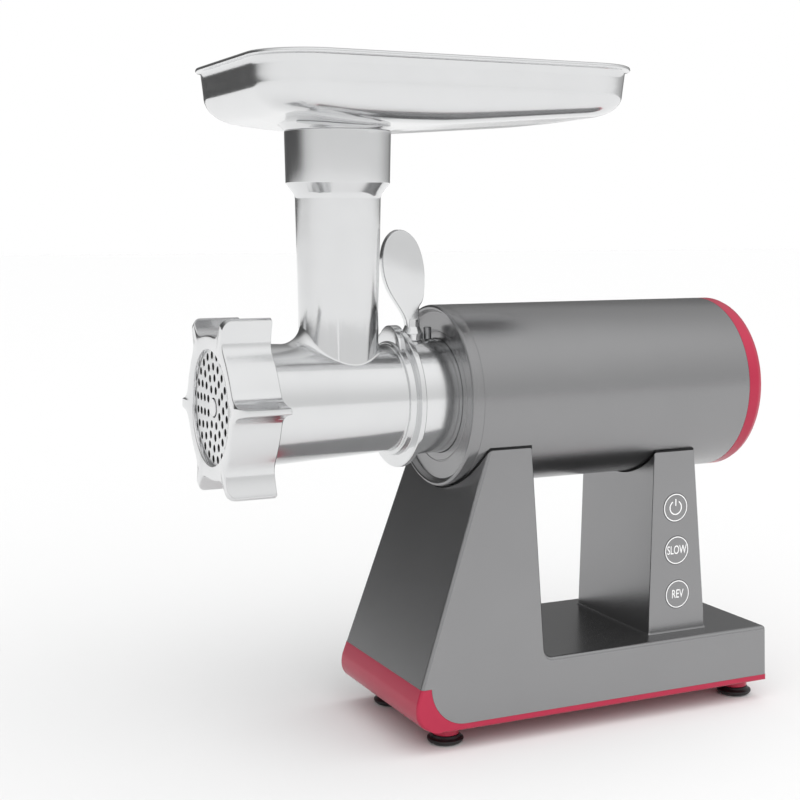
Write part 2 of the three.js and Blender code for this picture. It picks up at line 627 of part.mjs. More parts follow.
// Rings of the tray's skin, from the neck over the outside and the rim back down the inside.
// A ring is a circle about the feed tube {radius, z}, or lies on the curve between floor and wall
// {bend: 0 to 1}, or follows the rim outline {inset, z}. {spread} mixes the circle and the outline.
function trayRings() {
  const bends = [0, 0.2, 0.4, 0.6, 0.8, 1];
  const spreads = [0, 0.25, 0.6];
  const t = trayWall;
  const lowest = 133;
  const neckTopZ = socketTopZ + gap;
  return [
    { radius: 26.6, z: lowest }, { radius: 26.6, z: neckTopZ }, { radius: 30.2, z: neckTopZ },
    ...spreads.map(spread => ({ spread, lift: 0 })),
    ...bends.map(bend => ({ bend, lift: 0, wall: 0 })),
    { inset: 3, z: 186.8 }, { inset: 0.4, z: 187.2 }, { inset: 0, z: 188.6 },
    { inset: 0.8, z: trayRimZ }, { inset: 3, z: trayRimZ }, { inset: 4.6, z: 188.2 },
    ...bends.map(bend => ({ bend, lift: t, wall: t })).reverse(),
    ...spreads.map(spread => ({ spread, lift: t })).reverse(),
    { radius: 27, z: neckTopZ + 2.2 }, { radius: 24, z: neckTopZ }, { radius: 24, z: lowest },
  ];
}

function trayGeometry() {
  const sides = 44;
  const floorRadius = 33.5;
  const rings = trayRings();
  const corners = rings.map((ring, i) => new THREE.Vector2(i + 1, 0));
  corners.push(corners[0].clone());
  const geometry = new THREE.LatheGeometry(corners, sides);
  const position = geometry.attributes.position;
  const outer = roundedRectangle(0, sides);
  const floorEdge = roundedRectangle(trayFilletInset, sides);
  for (let i = 0; i < position.count; i++) {
    const side = Math.floor(i / corners.length) % sides;
    const ring = rings[i % corners.length % rings.length];
    const angle = Math.atan2(outer[side].y, outer[side].x - tubeX);
    const [across, along] = [Math.cos(angle), Math.sin(angle)];
    if (ring.radius) {
      position.setXYZ(i, tubeX + ring.radius * across, ring.radius * along, ring.z);
    } else if (ring.spread !== undefined) {
      const x = THREE.MathUtils.lerp(tubeX + floorRadius * across, floorEdge[side].x, ring.spread);
      const y = THREE.MathUtils.lerp(floorRadius * along, floorEdge[side].y, ring.spread);
      position.setXYZ(i, x, y, trayFloorZ(x, y) + ring.lift);
    } else if (ring.bend !== undefined) {
      const turn = ring.bend * Math.PI / 2;
      const floorZ = trayFloorZ(floorEdge[side].x, floorEdge[side].y) + ring.lift;
      const inset = THREE.MathUtils.lerp(trayFilletInset, trayWallInset + ring.wall, Math.sin(turn));
      const edge = roundedRectangle(inset, sides)[side];
      const z = THREE.MathUtils.lerp(floorZ, trayFilletTopZ, 1 - Math.cos(turn));
      position.setXYZ(i, edge.x, edge.y, z);
    } else {
      const edge = roundedRectangle(ring.inset, sides)[side];
      position.setXYZ(i, edge.x, edge.y, ring.z);
    }
  }
  return geometry;
}
piece('hopper_tray', trayGeometry(), castAluminium);

// ---------------------------------------------------------------- locking lever
function leverLeaf() {
  const edge = [[-24.2, 52], [-31, 62], [-35.4, 76], [-35.2, 88], [-30.4, 96], [-23.4, 98.4], [-16.4, 94.4],
    [-10.8, 84], [-8.4, 71], [-9.6, 60], [-12.4, 52.6]].map(([x, z]) => new THREE.Vector2(x, z));
  const shape = new THREE.Shape();
  shape.moveTo(-19.4, 40);
  shape.splineThru(edge);
  shape.lineTo(-12.2, 40);
  return slabY(shape, -2.6, 2.6, 3);
}
const stemProfile = [[0, 28], [3.5, 28], [3.5, 33.4], [6.6, 33.4], [6.6, 38], [4.2, 42], [3.6, 48], [0, 48]];
const leverStem = turnedZ(stemProfile, leverX, 0);
piece('lock_lever', joined(solid(leverLeaf()), solid(leverStem)), castAluminium);

// ---------------------------------------------------------------- the object's own origin
const middleX = (nutFrontX + baseRearX) / 2;
machine.position.set(-middleX, 0, axisHeight);

export default grinder;
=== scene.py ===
"""Looks for the electric meat grinder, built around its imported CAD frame.

Shapes are drawn in millimetres about the motor axis: x runs from the drum's front rim to the rear,
-y is the side with the push buttons, z is up.  placed() turns that into the row frame in metres.
"""

import json
import math

import bmesh
import bpy
from mathutils import Matrix, Vector


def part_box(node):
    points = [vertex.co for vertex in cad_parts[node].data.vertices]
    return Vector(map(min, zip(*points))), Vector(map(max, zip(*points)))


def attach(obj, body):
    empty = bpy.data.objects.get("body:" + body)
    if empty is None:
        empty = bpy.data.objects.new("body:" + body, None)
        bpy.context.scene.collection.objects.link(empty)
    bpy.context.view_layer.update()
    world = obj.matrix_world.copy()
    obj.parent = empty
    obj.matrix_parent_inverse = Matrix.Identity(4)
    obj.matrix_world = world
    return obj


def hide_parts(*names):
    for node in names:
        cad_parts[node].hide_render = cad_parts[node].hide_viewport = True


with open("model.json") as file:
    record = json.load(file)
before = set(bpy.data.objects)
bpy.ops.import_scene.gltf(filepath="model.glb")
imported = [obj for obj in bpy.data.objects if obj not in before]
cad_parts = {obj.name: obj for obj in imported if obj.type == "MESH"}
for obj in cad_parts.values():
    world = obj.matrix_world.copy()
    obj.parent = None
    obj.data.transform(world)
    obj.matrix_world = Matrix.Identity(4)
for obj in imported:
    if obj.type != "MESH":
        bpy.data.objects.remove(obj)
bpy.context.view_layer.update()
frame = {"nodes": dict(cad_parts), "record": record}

# ------------------------------------------------------------------ driving dimensions, millimetres
MM = 0.001
DRUM_RADIUS = 54.0
DRUM_FRONT_X = 4.3
DRUM_REAR_X = 190.0
CAP_REAR_X = 201.6
CAP_SCREW_RADIUS = 42.0
CAP_SCREW_ANGLES = (90, 210, 330)
VENT_HEIGHTS = (-24, -16, -8, 0, 8, 16, 24)
VENT_FIELD_RADIUS = 34.0
VENT_HALF_HEIGHT = 1.5

BASE_BOTTOM_Z = -187.0
SEAM_Z = -183.0
SEAM_GAP = 0.12
SEAM_CURVE_X = -8.0
SEAM_CURVE_REACH = 21.3
PLATE_TOP_Z = -152.0
BASE_REAR_X = 208.0
BASE_HALF_WIDTH = 56.6
BASE_TAPER = 0.054
FRONT_FOOT_X = -44.8
FRONT_LEAN = 0.346
BAND_TOP_Z = -160.5
SHELL_WALL = 3.0
PEDESTAL_TOP_Z = -20.0
PEDESTAL_REAR_TOP_X = 39.0
PEDESTAL_REAR_FOOT_X = 45.6
SADDLE_RADIUS = DRUM_RADIUS + 1.3

COLUMN_FOOT = (127.8, 170.2, 41.1, PLATE_TOP_Z + 0.1)
COLUMN_TOP = (130.2, 159.4, 40.4, -36.0)

FOOT_X = (-12.0, 197.0)
FOOT_Y = 38.0
FLOOR_Z = -199.0
PAD_TOP_Z = -193.6
FOOT_BORE = 2.4
PAD_RECESS = 2.6
SCREW_GAP = 0.3
FOOT_BORE_TOP_Z = -170.0

TUBE_X = -62.4
TUBE_RADIUS = 22.8
SOCKET_TOP_Z = 153.3
BARREL_END_X = -133.4
BARREL_BORE = 26.0
THROAT_RADIUS = 20.5

NUT_FRONT_X = -140.4
NUT_REAR_X = -112.3
NUT_RADIUS = 40.3
NUT_BORE = 35.5
NUT_OPENING = 32.5
NUT_LIP = 2.3
NUT_EDGE = 0.9
LUG_CORNER = 5.5
LUG_COUNT = 6
LUG_TIP_RADIUS = 56.4
LUG_TURN = math.radians(3)

PLATE_X = -137.8
PLATE_THICKNESS = 4.0
PLATE_RADIUS = 34.9
HOLE_RADIUS = 2.2
PLATE_EDGE = 0.2
PLATE_CENTRE_HOLE = 5.8
HOLE_RINGS = ((10.6, 8), (16.8, 13), (23.0, 18), (29.2, 23))

TRAY_X = (-131.0, 99.3)
TRAY_HALF_WIDTH = 75.2
TRAY_CORNER = 34.5
TRAY_WALL = 2.0
TRAY_RIM_Z = 189.8
TRAY_FILLET_INSET = 24.0
TRAY_FILLET_TOP_Z = 174.0
TRAY_WALL_INSET = 4.4
TRAY_NECK_RADIUS = 26.6
TRAY_NECK_BORE = 24.0
TRAY_NECK_END_Z = 133.0
TRAY_FLOOR_START_RADIUS = 33.5

LEVER_X = -15.7

BUTTONS = {
    "power": ("power_button", 146.0, -73.0),
    "slow": ("slow_button", 147.4, -100.0),
    "reverse": ("reverse_button", 148.6, -128.0),
}
BUTTON_RADIUS = 9.0
BUTTON_WORDS = {"slow": "SLOW", "reverse": "REV"}
WORD_SIZE = 7.6
WORD_WIDTH_SHARE = 0.68

FLOOR_REACH_M = 14.0
FLOOR_DROP_M = 0.0003

drum_low, drum_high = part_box("drum_housing")
ORIGIN = Vector((drum_low.x - DRUM_FRONT_X * MM, 0, (drum_low.z + drum_high.z) / 2))


def placed(x, y, z):
    return ORIGIN + Vector((x, y, z)) * MM


# ------------------------------------------------------------------ camera
CAMERA_AZIMUTH = math.radians(-25.113)
CAMERA_ELEVATION = math.radians(6.947)

camera_data = bpy.data.cameras.new("camera")
camera_data.lens = 64.53
camera_data.sensor_width = 36.0
camera_data.clip_start = 0.05
camera_data.clip_end = 60.0
camera = bpy.data.objects.new("camera", camera_data)
bpy.context.scene.collection.objects.link(camera)
camera.location = (-0.4132, -0.7595, 0.2996)
towards_camera = Vector((
    math.sin(CAMERA_AZIMUTH) * math.cos(CAMERA_ELEVATION),
    -math.cos(CAMERA_AZIMUTH) * math.cos(CAMERA_ELEVATION),
    math.sin(CAMERA_ELEVATION),
))
camera.rotation_mode = "QUATERNION"
camera.rotation_quaternion = (-towards_camera).to_track_quat("-Z", "Y")
bpy.context.scene.camera = camera
bpy.context.scene.view_settings.view_transform = "Standard"
bpy.context.scene.view_settings.look = "None"


# ------------------------------------------------------------------ materials
def new_node(tree, kind, **settings):
    node = tree.nodes.new(kind)
    for key, value in settings.items():
        setattr(node, key, value)
    return node


def noise(tree, coordinates, scale, detail=2.0, stretch=(1, 1, 1)):
    """Noise of that many waves per metre, drawn out where stretch is below 1."""
    mapping = new_node(tree, "ShaderNodeMapping")
    mapping.inputs["Scale"].default_value = stretch
    tree.links.new(coordinates, mapping.inputs["Vector"])
    texture = new_node(tree, "ShaderNodeTexNoise")
    texture.inputs["Scale"].default_value = scale
    texture.inputs["Detail"].default_value = detail
    tree.links.new(mapping.outputs["Vector"], texture.inputs["Vector"])
    return texture.outputs["Fac"]


def finish(name, color, metallic, roughness, *, tone=0.06, tone_scale=40.0, polish=0.15,
           polish_scale=90.0, grain=0.02, grain_scale=2500.0, stretch=(1, 1, 1), wave=0.0,
           wave_scale=60.0, coat=0.0, coat_roughness=0.1):
    """A finish with slow changes of tone and uneven polish, and a fine grain and slow waves if asked.
    tone and polish are shares; grain and wave are heights in millimetres, and no grain means no bump."""
    material = bpy.data.materials.new(name)
    material.use_nodes = True
    tree = material.node_tree
    shader = tree.nodes["Principled BSDF"]
    shader.inputs["Metallic"].default_value = metallic
    shader.inputs["Coat Weight"].default_value = coat
    shader.inputs["Coat Roughness"].default_value = coat_roughness
    where = new_node(tree, "ShaderNodeTexCoord").outputs["Object"]

    ramp = new_node(tree, "ShaderNodeValToRGB")
    ramp.color_ramp.elements[0].position = 0.2
    ramp.color_ramp.elements[1].position = 0.8
    ramp.color_ramp.elements[0].color = [c * (1 - tone) for c in color] + [1]
    ramp.color_ramp.elements[1].color = [min(1, c * (1 + tone)) for c in color] + [1]
    tree.links.new(noise(tree, where, tone_scale, 4), ramp.inputs["Fac"])
    tree.links.new(ramp.outputs["Color"], shader.inputs["Base Color"])

    spread = new_node(tree, "ShaderNodeMapRange")
    spread.inputs["From Min"].default_value = 0.1
    spread.inputs["From Max"].default_value = 0.9
    spread.inputs["To Min"].default_value = roughness * (1 - polish)
    spread.inputs["To Max"].default_value = roughness * (1 + polish)
    tree.links.new(noise(tree, where, polish_scale, 3, stretch), spread.inputs["Value"])
    tree.links.new(spread.outputs["Result"], shader.inputs["Roughness"])

    if not grain:
        return material
    bump = new_node(tree, "ShaderNodeBump")
    bump.inputs["Strength"].default_value = 1.0
    bump.inputs["Distance"].default_value = grain * MM
    tree.links.new(noise(tree, where, grain_scale, 2, stretch), bump.inputs["Height"])
    if wave:
        slow = new_node(tree, "ShaderNodeBump")
        slow.inputs["Strength"].default_value = 1.0
        slow.inputs["Distance"].default_value = wave * MM
        tree.links.new(noise(tree, where, wave_scale, 1), slow.inputs["Height"])
        tree.links.new(slow.outputs["Normal"], bump.inputs["Normal"])
    tree.links.new(bump.outputs["Normal"], shader.inputs["Normal"])
    return material


MATERIALS = {
    "grey_paint": finish("satin_grey_paint", (0.30, 0.30, 0.304), 0.95, 0.26, tone=0.02,
                         tone_scale=25, polish=0.06, polish_scale=30, grain=0, coat=0.06,
                         coat_roughness=0.2),
    "red_finish": finish("crimson_finish", (0.42, 0.012, 0.05), 0.25, 0.33, tone=0.03, polish=0.06,
                         polish_scale=30, grain=0, coat=0.2, coat_roughness=0.2),
    "cast_aluminium": finish("polished_casting", (0.74, 0.745, 0.75), 1.0, 0.15, tone=0.02, polish=0.2,
                             grain=0.0003, grain_scale=1500, wave=0.02, wave_scale=40),
    "polished_steel": finish("polished_steel", (0.76, 0.765, 0.77), 1.0, 0.18, tone=0.02, polish=0.2,
                             grain=0.0005, grain_scale=900, stretch=(4, 1, 1)),
    "dark_steel": finish("satin_steel", (0.32, 0.325, 0.33), 1.0, 0.34, tone=0.08, grain=0.004,
                         grain_scale=1500, stretch=(1, 6, 6)),
    "laminated_steel": finish("steel_laminations", (0.24, 0.245, 0.25), 0.9, 0.5, tone=0.1, grain=0.05,
                              grain_scale=900, stretch=(3, 0.05, 0.05)),
    "brass_metal": finish("satin_brass", (0.62, 0.40, 0.15), 1.0, 0.28, tone=0.08, grain=0.004,
                          grain_scale=1200, stretch=(5, 1, 1)),
    "black_rubber": finish("black_rubber", (0.008, 0.008, 0.009), 0.0, 0.4, tone=0.15, grain=0.005,
                           grain_scale=1400),
    "black_plastic": finish("black_moulding", (0.02, 0.02, 0.022), 0.0, 0.42, tone=0.1, grain=0.02,
                            grain_scale=1800),
    "white_plastic": finish("white_moulding", (0.74, 0.74, 0.70), 0.0, 0.4, tone=0.03, grain=0.006,
                            grain_scale=900),
    "board_green": finish("circuit_board", (0.02, 0.13, 0.055), 0.0, 0.3, tone=0.25, tone_scale=300,
                          grain=0.03, grain_scale=700, coat=0.4),
}
ground_steel = finish("ground_steel", (0.88, 0.885, 0.89), 0.85, 0.42, tone=0.03, polish=0.1, grain=0.002,
                      grain_scale=1300)
# Painted shade: a near-black finish for the cutting plate's steel hole walls, standing in for the shade
# inside the holes.
bore_shadow = finish("painted_shade_bores", (0.02, 0.02, 0.021), 0.4, 0.6, tone=0.2, grain=0.004,
                     grain_scale=900)
legend_white = finish("printed_white", (0.88, 0.88, 0.88), 0.0, 0.45, tone=0.02, grain=0.003,
                      grain_scale=2500)


# ------------------------------------------------------------------ mesh helpers
def new_object(name, mesh, smooth_angle=38):
    mesh.validate()
    for polygon in mesh.polygons:
        polygon.use_smooth = True
    mesh.set_sharp_from_angle(angle=math.radians(smooth_angle))
    obj = bpy.data.objects.new(name, mesh)
    bpy.context.scene.collection.objects.link(obj)
    return obj


def mesh_object(name, points, faces, smooth_angle=38):
    """Points are in millimetres about the motor axis."""
    shape = bmesh.new()
    corners = [shape.verts.new(placed(*p)) for p in points]
    for face in faces:
        unique = list(dict.fromkeys(face))
        if len(unique) > 2:
            shape.faces.new([corners[i] for i in unique])
    bmesh.ops.remove_doubles(shape, verts=shape.verts[:], dist=1e-7)
    bmesh.ops.dissolve_degenerate(shape, edges=shape.edges[:], dist=1e-8)
    bmesh.ops.recalc_face_normals(shape, faces=shape.faces[:])
    mesh = bpy.data.meshes.new(name)
    shape.to_mesh(mesh)
    shape.free()
    return new_object(name, mesh, smooth_angle)


def rounded(outline, radius, steps=4):
    """A closed outline with its corners rounded; radius is one number or one for each corner."""
    out = []
    count = len(outline)
    for i, corner in enumerate(outline):
        r = radius[i] if isinstance(radius, (list, tuple)) else radius
        p = Vector(corner)
        before = Vector(outline[i - 1]) - p
        after = Vector(outline[(i + 1) % count]) - p
        if r <= 0 or before.length < 1e-6 or after.length < 1e-6:
            out.append(tuple(p))
            continue
        u, v = before.normalized(), after.normalized()
        half = math.acos(max(-1, min(1, u.dot(v)))) / 2
        if half > math.radians(88) or half < math.radians(2):
            out.append(tuple(p))
            continue
        reach = min(r / math.tan(half), 0.48 * before.length, 0.48 * after.length)
        r = reach * math.tan(half)
        centre = p + (u + v).normalized() * (r / math.sin(half))
        start = p + u * reach - centre
        end = p + v * reach - centre
        turn = math.atan2(start.x * end.y - start.y * end.x, start.dot(end))
        for k in range(steps + 1):
            a = turn * k / steps
            out.append((
                centre.x + start.x * math.cos(a) - start.y * math.sin(a),
                centre.y + start.x * math.sin(a) + start.y * math.cos(a),
            ))
    return out


def grid_faces(rows, columns, close_rows=True):
    """Quads between rows of points that each go once round."""
    faces = []
    for i in range(rows if close_rows else rows - 1):
        j = (i + 1) % rows
        for k in range(columns):
            n = (k + 1) % columns
            faces.append((i * columns + k, i * columns + n, j * columns + n, j * columns + k))
    return faces


def turned_x(name, profile, sides=144, y=0.0, z=0.0, smooth_angle=38):
    """A closed profile of (x, radius) turned about an axis along X."""
    points = []
    for x, r in profile:
        for k in range(sides):
            a = 2 * math.pi * k / sides
            points.append((x, y + r * math.cos(a), z + r * math.sin(a)))
    return mesh_object(name, points, grid_faces(len(profile), sides), smooth_angle)


def turned_z(name, profile, x, y, sides=96, smooth_angle=38):
    """A closed profile of (radius, z) turned about an upright axis."""
    points = []
    for r, z in profile:
        for k in range(sides):
            a = 2 * math.pi * k / sides
            points.append((x + r * math.cos(a), y + r * math.sin(a), z))
    return mesh_object(name, points, grid_faces(len(profile), sides), smooth_angle)


def prism_faces(count):
    """The two ends of a prism and the sides between its two outlines of that many points."""
    faces = [tuple(range(count)), tuple(range(2 * count - 1, count - 1, -1))]
    faces += [(k, (k + 1) % count, count + (k + 1) % count, count + k) for k in range(count)]
    return faces


def prism_y(name, outline, half_width, smooth_angle=30):
    """An outline of (x, z) drawn out to y = -half_width(z) and y = +half_width(z)."""
    points = [(x, -half_width(z), z) for x, z in outline] + [(x, half_width(z), z) for x, z in outline]
    return mesh_object(name, points, prism_faces(len(outline)), smooth_angle)


def prism_x(name, outline, x0, x1):
    """An outline of (y, z) drawn out from x0 to x1."""
    points = [(x0, y, z) for y, z in outline] + [(x1, y, z) for y, z in outline]
    return mesh_object(name, points, prism_faces(len(outline)))


def box_object(name, x0, x1, y0, y1, z0, z1):
    points = [(x, y, z) for x in (x0, x1) for y in (y0, y1) for z in (z0, z1)]
    faces = [(0, 1, 3, 2), (4, 6, 7, 5), (0, 4, 5, 1), (2, 3, 7, 6), (0, 2, 6, 4), (1, 5, 7, 3)]
    return mesh_object(name, points, faces)


def mesh_from_curve(name, curve):
    """The mesh that a curve draws, read from an object that is then removed."""
    drawn = bpy.data.objects.new(f"{name}_curve", curve)
    bpy.context.scene.collection.objects.link(drawn)
    bpy.context.view_layer.update()
    graph = bpy.context.evaluated_depsgraph_get()
    mesh = bpy.data.meshes.new_from_object(drawn.evaluated_get(graph))
    bpy.data.objects.remove(drawn)
    return mesh


def combine(obj, others, operation):
    """Joins the other objects to obj, cuts them out or keeps only the overlap, and removes them."""
    for other in others:
        modifier = obj.modifiers.new("combine", "BOOLEAN")
        modifier.operation = operation
        modifier.solver = "EXACT"
        modifier.object = other
    graph = bpy.context.evaluated_depsgraph_get()
    mesh = bpy.data.meshes.new_from_object(obj.evaluated_get(graph))
    obj.modifiers.clear()
    obj.data = mesh
    for other in others:
        bpy.data.objects.remove(other)
    return obj


def cut(obj, *others):
    return combine(obj, others, "DIFFERENCE")


def join(obj, *others):
    return combine(obj, others, "UNION")


def bevel(obj, width, angle=30, segments=3, where=None):
    """Rounds the edges that turn by more than that angle.
    where, given an edge's middle point in millimetres, may choose among them."""
    shape = bmesh.new()
    shape.from_mesh(obj.data)
    bmesh.ops.dissolve_limit(shape, angle_limit=math.radians(0.5), verts=shape.verts[:],
                             edges=shape.edges[:])
    chosen = []
    for edge in shape.edges:
        if len(edge.link_faces) != 2 or edge.calc_face_angle(0) < math.radians(angle):
            continue
        middle = ((edge.verts[0].co + edge.verts[1].co) / 2 - ORIGIN) / MM
        if where is None or where(middle):
            chosen.append(edge)
    bmesh.ops.bevel(shape, geom=chosen, offset=width * MM, offset_type="OFFSET", segments=segments,
                    profile=0.5, affect="EDGES", clamp_overlap=False)
    shape.to_mesh(obj.data)
    shape.free()
    return obj


def shade(obj, smooth_angle=30):
    """Smooth shading between the sharp edges, with flat faces kept flat."""
    for polygon in obj.data.polygons:
        polygon.use_smooth = True
    obj.data.set_sharp_from_angle(angle=math.radians(smooth_angle))
    weighted = obj.modifiers.new("weighted", "WEIGHTED_NORMAL")
    weighted.keep_sharp = True
    return obj


def dress(obj, body, slot, *nodes, material=None):
    """Gives a piece its finish and its body, and hides the CAD nodes that it stands for."""
    obj.data.materials.clear()
    obj.data.materials.append(material or MATERIALS[slot])
    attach(obj, body)
    if nodes:
        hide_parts(*nodes)
    return obj


# ------------------------------------------------------------------ base, pedestal and red tray
def front_x(z):
    return FRONT_FOOT_X + FRONT_LEAN * (z - BASE_BOTTOM_Z)


def side_y(z):
    return BASE_HALF_WIDTH - BASE_TAPER * (z - BASE_BOTTOM_Z)


def arc(cx, cz, rx, rz, start, end, steps=14):
    """Points of (x, z) along part of an ellipse."""
    return [(cx + rx * math.cos(start + (end - start) * i / steps),
             cz + rz * math.sin(start + (end - start) * i / steps)) for i in range(steps + 1)]


def screw_holes():
    below = FLOOR_Z + 1
    profile = [(0, below), (FOOT_BORE, below), (FOOT_BORE, FOOT_BORE_TOP_Z), (0, FOOT_BORE_TOP_Z)]
    return [turned_z("hole", profile, x, y, 24) for x in FOOT_X for y in (-FOOT_Y, FOOT_Y)]


def make_base():
    outline = [(front_x(PEDESTAL_TOP_Z), PEDESTAL_TOP_Z), (front_x(BAND_TOP_Z), BAND_TOP_Z)]
    outline += arc(SEAM_CURVE_X, BAND_TOP_Z, SEAM_CURVE_REACH, BAND_TOP_Z - SEAM_Z,
                   math.pi, 1.5 * math.pi)
    outline += rounded([(BASE_REAR_X, SEAM_Z), (BASE_REAR_X, PLATE_TOP_Z),
                        (PEDESTAL_REAR_FOOT_X, PLATE_TOP_Z), (PEDESTAL_REAR_TOP_X, PEDESTAL_TOP_Z)],
                       [0, 0, 5.5, 0], 10)
    base = prism_y("base_shell_look", outline, side_y)

    def at_seam(p):
        return p.z < SEAM_Z + 0.6 or (p.x < SEAM_CURVE_X and p.z < BAND_TOP_Z + 0.6)

    def on_side(p):
        return abs(p.y) > side_y(p.z) - 0.5

    def front_edge(p):
        return on_side(p) and abs(p.x - front_x(p.z)) < 0.5 and not at_seam(p)

    def rear_edge(p):
        upright = on_side(p) and not at_seam(p)
        return p.x > BASE_REAR_X - 0.5 and (upright or p.z > PLATE_TOP_Z - 0.5)

    def upper_edge(p):
        between = SEAM_CURVE_X < p.x < BASE_REAR_X - 0.5
        return on_side(p) and not at_seam(p) and between and p.z < -25

    bevel(base, 2.2, segments=5, where=lambda p: front_edge(p) or upper_edge(p) or rear_edge(p))
    cavity = prism_y("cavity", [
        (front_x(0) + SHELL_WALL, 0), (front_x(-195) + SHELL_WALL, -195), (BASE_REAR_X - SHELL_WALL, -195),
        (BASE_REAR_X - SHELL_WALL, PLATE_TOP_Z - SHELL_WALL),
        (PEDESTAL_REAR_FOOT_X - SHELL_WALL, PLATE_TOP_Z - SHELL_WALL),
        (PEDESTAL_REAR_TOP_X - SHELL_WALL - 1, 0),
    ], lambda z: side_y(z) - SHELL_WALL)
    saddle = turned_x("saddle", [(-60, 0), (-60, SADDLE_RADIUS), (230, SADDLE_RADIUS), (230, 0)], 192)
    inlet = box_object("inlet", BASE_REAR_X - 8, BASE_REAR_X + 8, -13.5, 13.5, -178.2, -158.5)
    wires = box_object("wires", 140, 156, -14, 14, PLATE_TOP_Z - 8, PLATE_TOP_Z + 8)
    shade(cut(base, cavity, saddle, inlet, wires))
    return dress(base, "housing", "grey_paint", "base_shell")


def make_undertray():
    top = BAND_TOP_Z - SEAM_GAP
    inner = SEAM_Z - SEAM_GAP
    chin_z, chin_pull_x, chin_end_x, steps = -168, -42.6, -18, 16
    outline = [(front_x(top), top), (front_x(chin_z), chin_z)]
    for i in range(1, steps + 1):
        t = i / steps
        x = (1 - t) ** 2 * front_x(chin_z) + 2 * t * (1 - t) * chin_pull_x + t * t * chin_end_x
        z = (1 - t) ** 2 * chin_z + 2 * t * (1 - t) * BASE_BOTTOM_Z + t * t * BASE_BOTTOM_Z
        outline.append((x, z))
    outline += [(BASE_REAR_X, BASE_BOTTOM_Z), (BASE_REAR_X, inner)]
    outline += arc(SEAM_CURVE_X, top, SEAM_CURVE_REACH + SEAM_GAP, top - inner, 1.5 * math.pi, math.pi)
    tray = prism_y("undertray_look", outline, side_y)

    def outer_edge(p):
        on_side = abs(p.y) > side_y(p.z) - 0.5
        below = p.z < BASE_BOTTOM_Z + 0.3
        front = p.x < front_x(p.z) + 14 and p.x < -31
        rear = p.x > BASE_REAR_X - 0.3
        return on_side and (below or front or rear) and p.z < top - 0.3

    bevel(tray, 1.8, angle=32, segments=5, where=outer_edge)
    shade(cut(tray, *screw_holes()))
    return dress(tray, "housing", "red_finish", "undertray")


def make_foot(suffix, x, y):
    post_top = BASE_BOTTOM_Z - 0.1
    post = turned_z(f"foot_post_{suffix}_look", rounded(
        [(FOOT_BORE, PAD_TOP_Z), (8, PAD_TOP_Z), (8, post_top), (FOOT_BORE, post_top)],
        [0, 0.4, 0.2, 0], 3), x, y, 64)
    dress(post, "housing", "red_finish", f"foot_post_{suffix}")
    profile = rounded(
        [(FOOT_BORE, PAD_TOP_Z - 0.1), (8.2, PAD_TOP_Z - 0.1), (9.0, PAD_TOP_Z - 1.6),
         (10.8, PAD_TOP_Z - 2.6), (10.6, FLOOR_Z + 1.4), (8.8, FLOOR_Z), (5, FLOOR_Z),
         (5, FLOOR_Z + PAD_RECESS), (FOOT_BORE, FLOOR_Z + PAD_RECESS)],
        [0, 0.3, 1.6, 0.7, 1.2, 0.8, 0.3, 0.2, 0], 5)
    pad = turned_z(f"foot_pad_{suffix}_look", profile, x, y, 72)
    dress(pad, "housing", "black_rubber", f"foot_pad_{suffix}")


# ------------------------------------------------------------------ rear column
def column_prism(name, inset, reach, flare=0.0):
    """The tapering column, drawn in by inset, longer by reach and wider by flare at its foot."""
    (fx0, fx1, fw, fz), (tx0, tx1, tw, tz) = COLUMN_FOOT, COLUMN_TOP
    levels = [(fx0, fx1, fw, fz - reach), (tx0, tx1, tw, tz + reach)]
    if flare:
        levels.insert(0, (fx0 - flare, fx1 + flare, fw + flare, fz))
        levels[1] = (fx0, fx1, fw, fz + 1.3)
    points = []
    for x0, x1, w, z in levels:
        points += [(x0 + inset, -w + inset, z), (x1 - inset, -w + inset, z),
                   (x1 - inset, w - inset, z), (x0 + inset, w - inset, z)]
    top = len(points) - 4
    faces = [(3, 2, 1, 0), (top, top + 1, top + 2, top + 3)]
    faces += [(low + k, low + (k + 1) % 4, low + 4 + (k + 1) % 4, low + 4 + k)
              for low in range(0, top, 4) for k in range(4)]
    return mesh_object(name, points, faces)


COLUMN_SLOPE = (COLUMN_FOOT[2] - COLUMN_TOP[2]) / (COLUMN_TOP[3] - COLUMN_FOOT[3])


def column_face_y(z):
    return -(COLUMN_FOOT[2] - COLUMN_SLOPE * (z - COLUMN_FOOT[3]))


def at_button(key):
    """The matrix that takes a shape drawn along +X from its front face into the column's near face."""
    _, x, z = BUTTONS[key]
    inwards = Vector((0, 1, -COLUMN_SLOPE)).normalized()
    across = Vector((1, 0, 0))
    up = across.cross(inwards)
    spin = Matrix((inwards, -across, up)).transposed().to_4x4()
    return Matrix.Translation(placed(x, column_face_y(z), z)) @ spin @ Matrix.Translation(-ORIGIN)


def make_column():
    column = column_prism("rear_column_look", 0, 0, flare=0.7)
    bevel(column, 1.1, angle=50, segments=4,
          where=lambda p: COLUMN_FOOT[3] + 0.2 < p.z < COLUMN_TOP[3] - 0.5)
    inside = column_prism("inside", SHELL_WALL, 3)
    saddle = turned_x("saddle", [(100, 0), (100, SADDLE_RADIUS), (200, SADDLE_RADIUS), (200, 0)], 192)
    holes = []
    for key in BUTTONS:
        hole = turned_x("hole", [(-5, 0), (-5, BUTTON_RADIUS + 0.16), (8, BUTTON_RADIUS + 0.16), (8, 0)], 96)
        hole.data.transform(at_button(key))
        holes.append(hole)
    shade(cut(column, inside, saddle, *holes))
    return dress(column, "housing", "grey_paint", "rear_column")


